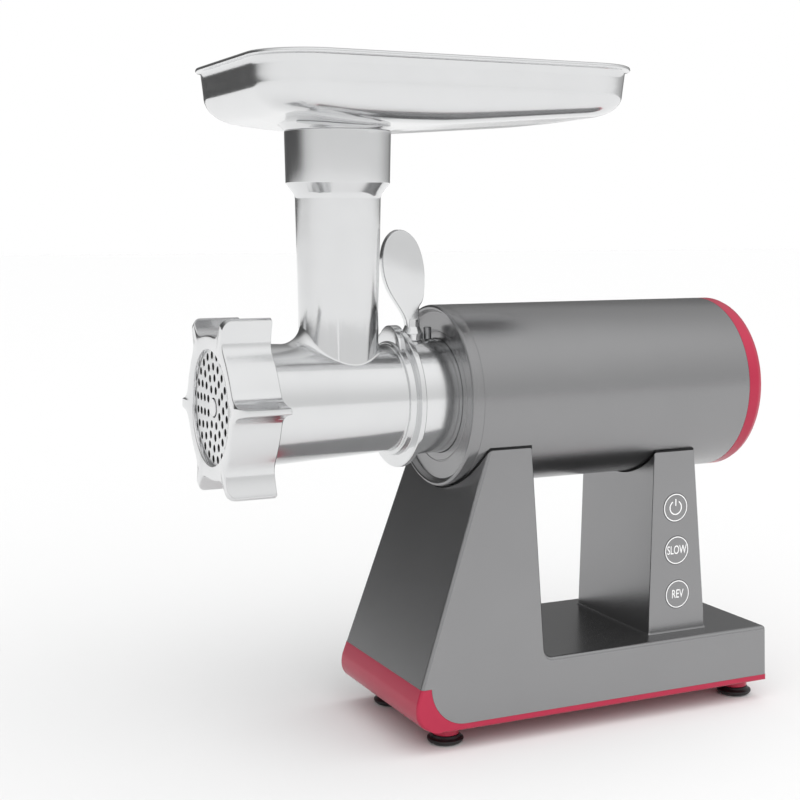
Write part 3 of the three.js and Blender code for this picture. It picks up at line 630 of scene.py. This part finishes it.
def band(name, key, inner, outer, start=0.0, end=2 * math.pi, steps=96, depth=-0.36, thickness=0.08):
    """A printed ring or arc on a button, as a thin raised band."""
    closed_round = end - start > 6.28
    columns = steps if closed_round else steps + 1
    points = []
    for x, r in ((depth, inner), (depth, outer), (depth + thickness, outer), (depth + thickness, inner)):
        for k in range(columns):
            a = start + (end - start) * k / steps
            points.append((x, r * math.cos(a), r * math.sin(a)))
    faces = grid_faces(4, columns)
    if not closed_round:
        faces = [f for f in faces if abs(f[0] % columns - f[1] % columns) == 1]
        faces += [(0, columns, 2 * columns, 3 * columns),
                  tuple(columns * (i + 1) - 1 for i in (3, 2, 1, 0))]
    obj = mesh_object(name, points, faces)
    obj.data.transform(at_button(key))
    return obj


def lettering(name, key):
    """The button's word, printed on its face."""
    curve = bpy.data.curves.new(name, "FONT")
    curve.body = BUTTON_WORDS[key]
    curve.size = WORD_SIZE * MM
    curve.align_x = "CENTER"
    curve.align_y = "CENTER"
    curve.extrude = 0.04 * MM
    curve.offset = 0.02 * MM
    mesh = mesh_from_curve(name, curve)
    upright = Matrix.Rotation(math.pi / 2, 4, "X")
    _, x, z = BUTTONS[key]
    narrow = Matrix.Diagonal((WORD_WIDTH_SHARE, 1, 1, 1))
    mesh.transform(Matrix.Translation(placed(x, column_face_y(z) - 0.34, z)) @ upright @ narrow)
    return new_object(name, mesh)


def make_button(key):
    node, x, z = BUTTONS[key]
    profile = rounded([(-0.3, 0), (-0.3, BUTTON_RADIUS), (2.4, BUTTON_RADIUS), (2.4, 3), (7.4, 3),
                       (7.4, 0)], [0, 0.25, 0.2, 0.2, 0.2, 0], 4)
    button = turned_x(f"{node}_look", profile, 96)
    button.data.transform(at_button(key))
    body = f"{key}_key"
    dress(button, body, "grey_paint", node)
    marks = [band(f"{key}_ring", key, 8.05, 8.6)]
    if key == "power":
        gap = math.radians(32)
        top = math.pi / 2
        marks.append(band("power_arc", key, 3.9, 4.6, top + gap, top + 2 * math.pi - gap, 48))
        bar = box_object("power_bar", -0.36, -0.28, -0.35, 0.35, 1.1, 5.4)
        bar.data.transform(at_button(key))
        marks.append(bar)
    else:
        marks.append(lettering(f"{key}_word", key))
    for mark in marks:
        dress(mark, body, "white_plastic", material=legend_white)


# ------------------------------------------------------------------ drum
def make_drum():
    r = DRUM_RADIUS
    tube = turned_x("drum_look", rounded(
        [(DRUM_FRONT_X, r - 3), (DRUM_FRONT_X, r), (DRUM_REAR_X, r), (DRUM_REAR_X, r - 3)],
        [0, 0.15, 0.15, 0], 3), 192)
    dress(tube, "housing", "grey_paint", "drum_housing")
    bezel = turned_x("bezel_look", rounded(
        [(0.6, 34.2), (0.6, 38.4), (0.9, 38.6), (0.9, 39.2), (0.6, 39.4), (0.6, 49.8), (-2.4, 51.4),
         (-2.8, 52.6), (-2.0, 54), (4.24, 54), (4.24, 50.6), (9, 50.6), (9, 34.2)],
        [0.3, 0.1, 0, 0, 0.1, 0.8, 0.6, 0.6, 1.5, 0.1, 0, 0, 0], 5), 192)
    dress(bezel, "housing", "grey_paint", "front_bezel")

    cap = turned_x("rear_cap_look", rounded(
        [(DRUM_REAR_X + 0.12, 54), (197, 54), (200.2, 52.6), (CAP_REAR_X, 48.8), (CAP_REAR_X, 0), (199.2, 0),
         (199.2, 47.6), (186, 47.6), (186, 50.6), (DRUM_REAR_X + 0.12, 50.6)],
        [0.15, 3, 2.5, 2.5, 0, 0, 0, 0, 0, 0], 6), 192)
    openings = []
    inside_x, outside_x = 198, 203
    for z in VENT_HEIGHTS:
        half = math.sqrt(VENT_FIELD_RADIUS * VENT_FIELD_RADIUS - z * z) - VENT_HALF_HEIGHT
        outline = [(half + VENT_HALF_HEIGHT * math.cos(a), z + VENT_HALF_HEIGHT * math.sin(a))
                   for a in [math.radians(-90 + 15 * i) for i in range(13)]]
        outline += [(-y, 2 * z - v) for y, v in outline]
        openings.append(prism_x("slot", outline, inside_x, outside_x))
    for degrees in CAP_SCREW_ANGLES:
        y = CAP_SCREW_RADIUS * math.cos(math.radians(degrees))
        z = CAP_SCREW_RADIUS * math.sin(math.radians(degrees))
        hole = [(inside_x, 0), (inside_x, 1.9), (outside_x, 1.9), (outside_x, 0)]
        openings.append(turned_x("hole", hole, 32, y, z))
    cut(cap, *openings)
    shade(bevel(cap, 0.35, angle=60, segments=2, where=lambda p: p.x > CAP_REAR_X - 0.1))
    dress(cap, "housing", "red_finish", "rear_cap")


def make_seals():
    ring = [(-30, DRUM_RADIUS + 0.1), (-30, SADDLE_RADIUS - 0.1), (BASE_REAR_X, SADDLE_RADIUS - 0.1),
            (BASE_REAR_X, DRUM_RADIUS + 0.1)]
    front = turned_x("pedestal_seal_look", ring, 192)
    rim = prism_y("rim", [(front_x(-60) + 1.2, -60), (front_x(-20) + 0.4, -20),
                          (PEDESTAL_REAR_TOP_X - 0.4, -20), (PEDESTAL_REAR_TOP_X + 1.4, -60)],
                  lambda z: 47.4)
    combine(front, [rim], "INTERSECT")
    dress(front, "housing", "black_rubber", "pedestal_seal")
    rear = turned_x("column_seal_look", ring, 192)
    rim = box_object("rim", 131.4, 159.0, -40.0, 40.0, -60, -30)
    combine(rear, [rim], "INTERSECT")
    dress(rear, "housing", "black_rubber", "column_seal")


def make_collar():
    collar = turned_x("collar_look", rounded(
        [(-25, 27.4), (-25, 33.9), (9.3, 33.9), (9.3, 46), (13.8, 46), (13.8, 27.4)],
        [0.4, 0.9, 0, 0.3, 0.3, 0.3], 5), 192)
    flat = box_object("flat", -24.5, -7, -12, 12, 33.1, 40)
    hole = turned_z("hole", [(0, 20), (3.9, 20), (3.9, 40), (0, 40)], LEVER_X, 0, 48)
    cut(collar, flat, hole)
    dress(collar, "housing", "polished_steel", "socket_collar")
    pin_x = -5.6
    profile = rounded([(0, 34.1), (2.4, 34.1), (2.4, 41), (0, 41)], [0, 0, 0.6, 0], 4)
    pin = turned_z("stop_pin_look", profile, pin_x, 0, 48)
    dress(pin, "housing", "dark_steel", "stop_pin")


# ------------------------------------------------------------------ grinding head
BARREL = [(BARREL_END_X, 34.8), (-112, 34.8), (-111, 34.6), (-32, 30.9)]


def barrel_radius(x):
    """Outer radius of the barrel at that x."""
    for (x0, r0), (x1, r1) in zip(BARREL, BARREL[1:]):
        if x <= x1:
            return r0 + (r1 - r0) * max(0, x - x0) / (x1 - x0)
    return BARREL[-1][1]


def barrel_height(x, y):
    """Height of the barrel's upper surface at that point."""
    return math.sqrt(max(0.01, barrel_radius(x) ** 2 - y * y))


def fillet_solid(name):
    """A ring round the foot of the feed tube whose outer face blends the tube into the barrel."""
    columns, steps = 128, 12
    rows = [[] for _ in range(steps + 4)]
    for k in range(columns):
        a = 2 * math.pi * k / columns
        ca, sa = math.cos(a), math.sin(a)
        size = 2.0 + 10 * max(0, -ca) ** 5 + 2.5 * max(0, ca) ** 3
        centre = TUBE_RADIUS + size
        best, touch = -1e9, centre
        for i in range(201):
            s = TUBE_RADIUS + size * i / 100
            rest = size * size - (s - centre) ** 2
            if rest < 0 or abs(s * sa) > barrel_radius(TUBE_X) - 0.5:
                continue
            level = barrel_height(TUBE_X + s * ca, s * sa) + math.sqrt(rest)
            if level > best:
                best, touch = level, s
        touch_z = barrel_height(TUBE_X + touch * ca, touch * sa)
        end = math.atan2(touch_z - best, touch - centre)
        if end > 0:
            end -= 2 * math.pi
        profile = []
        for i in range(steps + 1):
            turn = -math.pi + (end + math.pi) * i / steps
            profile.append((centre + size * math.cos(turn), best + size * math.sin(turn)))
        low = touch_z - 2.5
        profile += [(touch - 0.2, low), (TUBE_RADIUS - 1.2, low - 1), (TUBE_RADIUS - 1.2, best)]
        for row, (s, z) in zip(rows, profile):
            row.append((TUBE_X + s * ca, s * sa, z))
    points = [p for row in rows for p in row]
    return mesh_object(name, points, grid_faces(len(rows), columns), 60)


def make_head():
    barrel = turned_x("head_look", rounded([
        (BARREL_END_X, 0), *BARREL, (-32, 33.2), (-28.6, 33.8), (-28.6, 40.8), (-25.3, 40.8),
        (-25.3, 27), (-6, 27), (-6, 0)],
        [0, 0.9, 0.3, 0.3, 2.2, 0.9, 0.3, 0.7, 0.7, 0.3, 0.6, 0], 5), 192)
    tube = turned_z("tube", rounded([
        (0, 8), (TUBE_RADIUS, 8), (23.0, 52.5), (24.4, 117.4), (29.6, 124.2), (30.2, SOCKET_TOP_Z),
        (0, SOCKET_TOP_Z)],
        [0, 0, 30, 6, 0.7, 0.5, 0], 8), TUBE_X, 0, 144)
    boss = turned_x("boss", rounded([(-30.8, 0), (-30.8, 16), (-25.4, 16), (-25.4, 0)], [0, 0.6, 0.3, 0], 4),
                    96, 0, 26.6)
    join(barrel, tube, fillet_solid("fillet"), boss)
    bores = [
        turned_x("bore", [(-127, 0), (-127, BARREL_BORE), (-41, BARREL_BORE), (-41, 0)], 96),
        turned_x("bore", [(BARREL_END_X - 2, 0), (BARREL_END_X - 2, 31.8), (-126.6, 31.8), (-126.6, 0)], 96),
        turned_x("bore", [(-42, 0), (-42, 13.3), (-33, 13.3), (-33, 0)], 48),
        turned_x("bore", [(-42, 0), (-42, 9.8), (-4, 9.8), (-4, 0)], 48),
        turned_x("bore", [(-20.5, 0), (-20.5, 20), (-4, 20), (-4, 0)], 64),
        turned_z("bore", [(0, 0), (THROAT_RADIUS, 0), (THROAT_RADIUS, 125), (27, 130), (27, 160),
                          (0, 160)], TUBE_X, 0, 96),
    ]
    cut(barrel, *bores)
    shape = bmesh.new()
    shape.from_mesh(barrel.data)
    bmesh.ops.dissolve_degenerate(shape, edges=shape.edges[:], dist=2e-5)
    shape.to_mesh(barrel.data)
    shape.free()
    barrel.data.set_sharp_from_angle(angle=math.radians(32))
    dress(barrel, "head", "cast_aluminium", "head_casting")


def smooth_loop(points, rounds=3):
    """Cuts the corners of a closed loop again and again until it is smooth."""
    for _ in range(rounds):
        finer = []
        for i, p in enumerate(points):
            q = points[(i + 1) % len(points)]
            finer.append((0.75 * p[0] + 0.25 * q[0], 0.75 * p[1] + 0.25 * q[1]))
            finer.append((0.25 * p[0] + 0.75 * q[0], 0.25 * p[1] + 0.75 * q[1]))
        points = finer
    return points


def lug_height(angle):
    """Share of the lugs' height at that angle from the middle of one."""
    return min(1, 1.25 / (1 + (angle / 0.055) ** 2))


def make_nut():
    outline = []
    step = 2 * math.pi / LUG_COUNT
    flank = [0.012, 0.025, 0.034, 0.043, 0.055, 0.068, 0.085, 0.11, 0.14, 0.18, 0.24, 0.31, 0.4]
    offsets = [-o for o in reversed(flank)] + [0] + flank + [step / 2]
    for i in range(LUG_COUNT):
        middle = math.pi - LUG_TURN + i * step
        for offset in offsets:
            r = NUT_RADIUS + (LUG_TIP_RADIUS - NUT_RADIUS) * lug_height(offset)
            outline.append((r * math.cos(middle + offset), r * math.sin(middle + offset)))
    outline = smooth_loop(outline, 2)
    rows = []

    def row(x, inset=0.0, reach=99.0):
        points = []
        for y, z in outline:
            r = math.hypot(y, z)
            scale = min(r - inset, reach) / r
            points.append((x, y * scale, z * scale))
        rows.append(points)

    def circle(x, radius):
        rows.append([(x, radius * y / math.hypot(y, z), radius * z / math.hypot(y, z)) for y, z in outline])

    def reach_at(depth):
        """Radius of the lugs' rounded front corner that far behind the front face."""
        rest = LUG_CORNER ** 2 - (LUG_CORNER - depth) ** 2
        return LUG_TIP_RADIUS - LUG_CORNER + math.sqrt(max(0, rest))

    circle(NUT_FRONT_X + NUT_LIP, NUT_BORE)
    circle(NUT_FRONT_X + NUT_LIP, NUT_OPENING)
    circle(NUT_FRONT_X + 0.5, NUT_OPENING)
    circle(NUT_FRONT_X + 0.15, NUT_OPENING + 0.15)
    circle(NUT_FRONT_X, NUT_OPENING + 0.5)
    row(NUT_FRONT_X, NUT_EDGE, LUG_TIP_RADIUS - LUG_CORNER)
    for i in range(1, 5):
        a = i * math.pi / 8
        depth = NUT_EDGE * (1 - math.cos(a))
        row(NUT_FRONT_X + depth, NUT_EDGE * (1 - math.sin(a)), reach_at(depth))
    for i in range(1, 7):
        depth = NUT_EDGE + (LUG_CORNER - NUT_EDGE) * i / 6
        row(NUT_FRONT_X + depth, 0, reach_at(depth))
    row(NUT_REAR_X - NUT_EDGE)
    for i in range(1, 5):
        a = i * math.pi / 8
        row(NUT_REAR_X - NUT_EDGE * (1 - math.sin(a)), NUT_EDGE * (1 - math.cos(a)))
    circle(NUT_REAR_X, NUT_BORE + 0.5)
    circle(NUT_REAR_X - 0.5, NUT_BORE)
    points = [p for r in rows for p in r]
    nut = mesh_object("ring_nut_look", points, grid_faces(len(rows), len(outline)), 38)
    dress(nut, "nut", "cast_aluminium", "ring_nut")


def make_plate():
    curve = bpy.data.curves.new("plate", "CURVE")
    curve.dimensions = "2D"
    curve.fill_mode = "BOTH"
    curve.extrude = (PLATE_THICKNESS / 2 - PLATE_EDGE) * MM
    curve.bevel_depth = PLATE_EDGE * MM
    curve.bevel_resolution = 1

    def loop(u, v, radius, sides):
        spline = curve.splines.new("POLY")
        spline.points.add(sides - 1)
        for k in range(sides):
            a = 2 * math.pi * k / sides
            spline.points[k].co = ((u + radius * math.cos(a)) * MM, (v + radius * math.sin(a)) * MM, 0, 1)
        spline.use_cyclic_u = True

    loop(0, 0, PLATE_RADIUS - PLATE_EDGE, 144)
    loop(0, 0, PLATE_CENTRE_HOLE, 48)
    for ring, count in HOLE_RINGS:
        for i in range(count):
            a = (i + 0.5) * 2 * math.pi / count
            loop(ring * math.cos(a), ring * math.sin(a), HOLE_RADIUS + PLATE_EDGE, 24)
    mesh = mesh_from_curve("plate", curve)
    facing = Matrix(((0, 0, 1, 0), (1, 0, 0, 0), (0, 1, 0, 0), (0, 0, 0, 1)))
    mesh.transform(Matrix.Translation(placed(PLATE_X + PLATE_THICKNESS / 2, 0, 0)) @ facing)
    plate = new_object("cutting_plate_look", mesh, 30)
    dress(plate, "head", "polished_steel", "cutting_plate", material=ground_steel)
    # Painted shade: the hole walls are steel in the real plate, but they take the near-black finish here so
    # the holes look shaded.
    mesh.materials.append(bore_shadow)
    for polygon in mesh.polygons:
        middle = (polygon.center - ORIGIN) / MM
        if abs(polygon.normal.x) < 0.3 and math.hypot(middle.y, middle.z) < PLATE_RADIUS - 2:
            polygon.material_index = 1


# ------------------------------------------------------------------ hopper tray
def tray_outline(inset, count):
    """Points shared out evenly along a rounded rectangle, starting in the middle of the rear end."""
    x0, x1 = TRAY_X[0] + inset, TRAY_X[1] - inset
    w = TRAY_HALF_WIDTH - inset
    r = TRAY_CORNER - inset
    quarter = r * math.pi / 2
    length = x1 - x0 - 2 * r
    spans = [w - r, quarter, length, quarter, 2 * (w - r), quarter, length, quarter, w - r]
    total = sum(spans)
    out = []
    for k in range(count):
        d = total * k / count
        i = 0
        while d > spans[i]:
            d -= spans[i]
            i += 1
        if i == 0:
            out.append((x1, d))
        elif i == 1:
            out.append((x1 - r + r * math.cos(d / r), w - r + r * math.sin(d / r)))
        elif i == 2:
            out.append((x1 - r - d, w))
        elif i == 3:
            out.append((x0 + r - r * math.sin(d / r), w - r + r * math.cos(d / r)))
        elif i == 4:
            out.append((x0, w - r - d))
        elif i == 5:
            out.append((x0 + r - r * math.cos(d / r), -w + r - r * math.sin(d / r)))
        elif i == 6:
            out.append((x0 + r + d, -w))
        elif i == 7:
            out.append((x1 - r + r * math.sin(d / r), -w + r - r * math.cos(d / r)))
        else:
            out.append((x1, -w + r + d))
    return out


def tray_floor_z(x, y):
    """Height of the floor's underside: flat round the neck and rising gently towards both ends."""
    def softly(distance):
        return (distance + math.sqrt(distance * distance + 144)) / 2

    return 154.2 + 0.012 * abs(y) + 0.078 * softly(x + 20) + 0.11 * softly(-70 - x)


def make_tray():
    count = 288
    angles = [math.atan2(y, x - TUBE_X) for x, y in tray_outline(0, count)]
    floor_edge = tray_outline(TRAY_FILLET_INSET, count)
    rows = []

    def circle(radius, z):
        rows.append([(TUBE_X + radius * math.cos(a), radius * math.sin(a), z) for a in angles])

    def edge(inset, z):
        rows.append([(x, y, z) for x, y in tray_outline(inset, count)])

    def floor_row(share, lift):
        """A ring on the floor, between a circle round the neck and the foot of the wall's curve."""
        row = []
        for (x, y), a in zip(floor_edge, angles):
            cx = TUBE_X + TRAY_FLOOR_START_RADIUS * math.cos(a)
            cy = TRAY_FLOOR_START_RADIUS * math.sin(a)
            px, py = cx + (x - cx) * share, cy + (y - cy) * share
            row.append((px, py, tray_floor_z(px, py) + lift))
        rows.append(row)

    def bend_row(turn, lift, wall):
        """A ring on the curve between the floor and the wall."""
        inset = TRAY_FILLET_INSET + (TRAY_WALL_INSET + wall - TRAY_FILLET_INSET) * math.sin(turn)
        row = []
        for (x, y), (fx, fy) in zip(tray_outline(inset, count), floor_edge):
            z = tray_floor_z(fx, fy) + lift
            row.append((x, y, z + (TRAY_FILLET_TOP_Z - z) * (1 - math.cos(turn))))
        rows.append(row)

    shares = [i / 12 for i in range(12)]
    turns = [i * math.pi / 28 for i in range(15)]
    circle(TRAY_NECK_RADIUS, TRAY_NECK_END_Z)
    circle(TRAY_NECK_RADIUS, SOCKET_TOP_Z + 0.1)
    circle(30.0, SOCKET_TOP_Z + 0.1)
    circle(30.2, SOCKET_TOP_Z + 0.4)
    for share in shares:
        floor_row(share, 0)
    for turn in turns:
        bend_row(turn, 0, 0)
    for inset, z in ((4.0, 177.6), (3.4, 182.8), (3.0, 186.4), (2.6, 187.0), (2.0, 187.25), (0.8, 187.35),
                     (0.25, 187.6), (0, 188.2), (0.1, 188.9), (0.5, 189.5), (1.2, TRAY_RIM_Z),
                     (2.6, TRAY_RIM_Z), (3.6, 189.6), (4.4, 188.9), (4.9, 187.6), (5.7, 181.0)):
        edge(inset, z)
    for turn in reversed(turns):
        bend_row(turn, TRAY_WALL, TRAY_WALL)
    for share in reversed(shares):
        floor_row(share, TRAY_WALL)
    circle(29.5, 156.2)
    circle(27.0, 155.8)
    circle(25.0, 154.6)
    circle(TRAY_NECK_BORE, 152.8)
    circle(TRAY_NECK_BORE, TRAY_NECK_END_Z)
    points = [p for r in rows for p in r]
    tray = mesh_object("hopper_tray_look", points, grid_faces(len(rows), count), 40)
    dress(tray, "tray", "cast_aluminium", "hopper_tray")


# ------------------------------------------------------------------ locking lever
def make_lever():
    edge = [(-20.2, 36), (-19.6, 44), (-22.6, 50), (-27.6, 57), (-32.6, 65), (-35.4, 75), (-35.6, 86),
            (-32.0, 94.4), (-26.0, 98.6), (-19.6, 97.2), (-13.6, 91.6), (-9.8, 82), (-8.2, 71),
            (-8.8, 60), (-10.2, 55.2), (-12.4, 53.2), (-11.6, 46), (-11.2, 36)]
    outline = smooth_loop(edge, 3)
    leaf = prism_y("lever_look", outline, lambda z: 2.6)
    bevel(leaf, 0.7, angle=50, segments=3)
    stem = turned_z("stem", rounded(
        [(0, 28), (3.5, 28), (3.5, 33.4), (6.6, 33.4), (6.6, 37.6), (4.4, 41.5), (3.8, 46), (0, 46)],
        [0, 0.3, 0, 0.6, 1.2, 2, 0.4, 0], 5), LEVER_X, 0, 64)
    join(leaf, stem)
    leaf.data.set_sharp_from_angle(angle=math.radians(40))
    dress(leaf, "lever", "cast_aluminium", "lock_lever")


# ------------------------------------------------------------------ screws and inlet
def make_cap_screw(number, angle):
    y, z = CAP_SCREW_RADIUS * math.cos(angle), CAP_SCREW_RADIUS * math.sin(angle)
    head = CAP_REAR_X + 0.1
    screw = turned_x(f"cap_screw_{number}_look", rounded(
        [(188, 0), (188, 1.5), (head, 1.5), (head, 3.2), (head + 1.2, 3.0), (head + 1.7, 1.6),
         (head + 1.7, 0)],
        [0, 0.2, 0, 0.3, 0.8, 1.0, 0], 4), 40, y, z)
    crosses = [box_object("cross", head + 0.5, head + 3, y - 1.9, y + 1.9, z - 0.35, z + 0.35),
               box_object("cross", head + 0.5, head + 3, y - 0.35, y + 0.35, z - 1.9, z + 1.9)]
    cut(screw, *crosses)
    dress(screw, "housing", "dark_steel", f"cap_screw_{number}")


def make_foot_screw(suffix, x, y):
    head = FLOOR_Z + PAD_RECESS - SCREW_GAP
    screw = turned_z(f"foot_screw_{suffix}_look", rounded(
        [(0, head - 1.6), (3.4, head - 1.6), (4.2, head - 0.9), (4.2, head), (2, head), (2, -173),
         (0, -173)],
        [0, 1.2, 0.4, 0.1, 0, 0.2, 0], 3), x, y, 40)
    crosses = [box_object("cross", x - 2.2, x + 2.2, y - 0.45, y + 0.45, head - 3, head - 0.6),
               box_object("cross", x - 0.45, x + 0.45, y - 2.2, y + 2.2, head - 3, head - 0.6)]
    cut(screw, *crosses)
    dress(screw, "housing", "dark_steel", f"foot_screw_{suffix}")


def make_inlet():
    def rounded_slab(name, x0, x1, half_width, z0, z1, radius):
        corners = [(-half_width, z0), (half_width, z0), (half_width, z1), (-half_width, z1)]
        return prism_x(name, rounded(corners, radius, 5), x0, x1)

    body = rounded_slab("mains_inlet_look", 192, BASE_REAR_X - 0.2, 13.2, -177.9, -158.8, 0.5)
    cut(body, rounded_slab("recess", 196, BASE_REAR_X + 3, 11, -175.4, -161.3, 3.0))
    shade(bevel(body, 0.4, angle=50, segments=2, where=lambda p: p.x > BASE_REAR_X - 0.5))
    dress(body, "housing", "black_plastic", "mains_inlet")
    for name, y, z in (("earth", 0, -166.2), ("live", -5.2, -170.6), ("neutral", 5.2, -170.6)):
        pin = rounded_slab(f"inlet_pin_{name}", 195.6, 204.6, 0.9, z - 1.9, z + 1.9, 0.5)
        pin.data.transform(Matrix.Translation((0, y * MM, 0)))
        dress(pin, "housing", "brass_metal")


# ------------------------------------------------------------------ build everything
make_base()
make_undertray()
for suffix, fx, fy in (("front_left", FOOT_X[0], FOOT_Y), ("front_right", FOOT_X[0], -FOOT_Y),
                       ("rear_left", FOOT_X[1], FOOT_Y), ("rear_right", FOOT_X[1], -FOOT_Y)):
    make_foot(suffix, fx, fy)
    make_foot_screw(suffix, fx, fy)
make_column()
for button_key in BUTTONS:
    make_button(button_key)
make_drum()
make_seals()
make_collar()
for number, degrees in enumerate(CAP_SCREW_ANGLES, 1):
    make_cap_screw(number, math.radians(degrees))
make_inlet()
make_head()
make_nut()
make_plate()
make_tray()
make_lever()

for row in frame["record"]["subparts"]:
    node = frame["nodes"][row["node"]]
    node.data.materials.clear()
    node.data.materials.append(MATERIALS[row["material_slot"]])

# ------------------------------------------------------------------ floor, world and lights
floor_mesh = bpy.data.meshes.new("floor")
floor_corners = [(x * FLOOR_REACH_M, y * FLOOR_REACH_M, -FLOOR_DROP_M)
                 for x, y in ((-1, -1), (1, -1), (1, 1), (-1, 1))]
floor_mesh.from_pydata(floor_corners, [], [(0, 1, 2, 3)])
floor = bpy.data.objects.new("floor", floor_mesh)
bpy.context.scene.collection.objects.link(floor)
floor_material = bpy.data.materials.new("pale_floor")
floor_material.use_nodes = True
floor_shader = floor_material.node_tree.nodes["Principled BSDF"]
floor_shader.inputs["Base Color"].default_value = (0.78, 0.78, 0.78, 1)
floor_shader.inputs["Roughness"].default_value = 0.9
floor_shader.inputs["Specular IOR Level"].default_value = 0.1
floor_mesh.materials.append(floor_material)

world = bpy.data.worlds.new("studio")
bpy.context.scene.world = world
world.use_nodes = True
sky = world.node_tree
sky.nodes.clear()
direction = new_node(sky, "ShaderNodeTexCoord").outputs["Generated"]
split = new_node(sky, "ShaderNodeSeparateXYZ")
sky.links.new(direction, split.inputs["Vector"])


def spread(value, low, high, start, end):
    """A smooth change from start to end as the value goes from low to high."""
    node = new_node(sky, "ShaderNodeMapRange", interpolation_type="SMOOTHSTEP")
    for key, number in (("From Min", low), ("From Max", high), ("To Min", start), ("To Max", end)):
        node.inputs[key].default_value = number
    sky.links.new(value, node.inputs["Value"])
    return node.outputs["Result"]


def product(first, second):
    """Two brightnesses multiplied."""
    node = new_node(sky, "ShaderNodeMath", operation="MULTIPLY")
    sky.links.new(first, node.inputs[0])
    sky.links.new(second, node.inputs[1])
    return node.outputs["Value"]


def patch(direction_of_patch, start, end, depth):
    """A soft dark patch on the studio's walls, round that direction."""
    dot = new_node(sky, "ShaderNodeVectorMath", operation="DOT_PRODUCT")
    dot.inputs[1].default_value = Vector(direction_of_patch).normalized()
    sky.links.new(direction, dot.inputs[0])
    return spread(dot.outputs["Value"], start, end, 1.0, depth)


brightness = spread(split.outputs["Y"], -0.4, 0.6, 0.78, 0.42)
brightness = product(brightness, spread(split.outputs["Z"], 0.1, 0.8, 1.0, 1.35))
brightness = product(brightness, patch((-0.55, 0.82, 0.06), 0.60, 0.95, 0.22))
brightness = product(brightness, patch((0.45, 0.88, 0.10), 0.80, 0.98, 0.5))
studio = new_node(sky, "ShaderNodeBackground")
sky.links.new(brightness, studio.inputs["Color"])
white = new_node(sky, "ShaderNodeBackground")
white.inputs["Color"].default_value = (1, 1, 1, 1)
path = new_node(sky, "ShaderNodeLightPath")
mix = new_node(sky, "ShaderNodeMixShader")
sky.links.new(path.outputs["Is Camera Ray"], mix.inputs["Fac"])
sky.links.new(studio.outputs["Background"], mix.inputs[1])
sky.links.new(white.outputs["Background"], mix.inputs[2])
out = new_node(sky, "ShaderNodeOutputWorld")
sky.links.new(mix.outputs["Shader"], out.inputs["Surface"])

sun = bpy.data.lights.new("sun", "SUN")
sun.energy = 2.0
sun.angle = math.radians(110)
sun_lamp = bpy.data.objects.new("sun", sun)
bpy.context.scene.collection.objects.link(sun_lamp)
sun_lamp.rotation_mode = "QUATERNION"
sun_lamp.rotation_quaternion = Vector((0.15, -0.55, 1.0)).to_track_quat("Z", "Y")
sun_lamp.visible_glossy = False
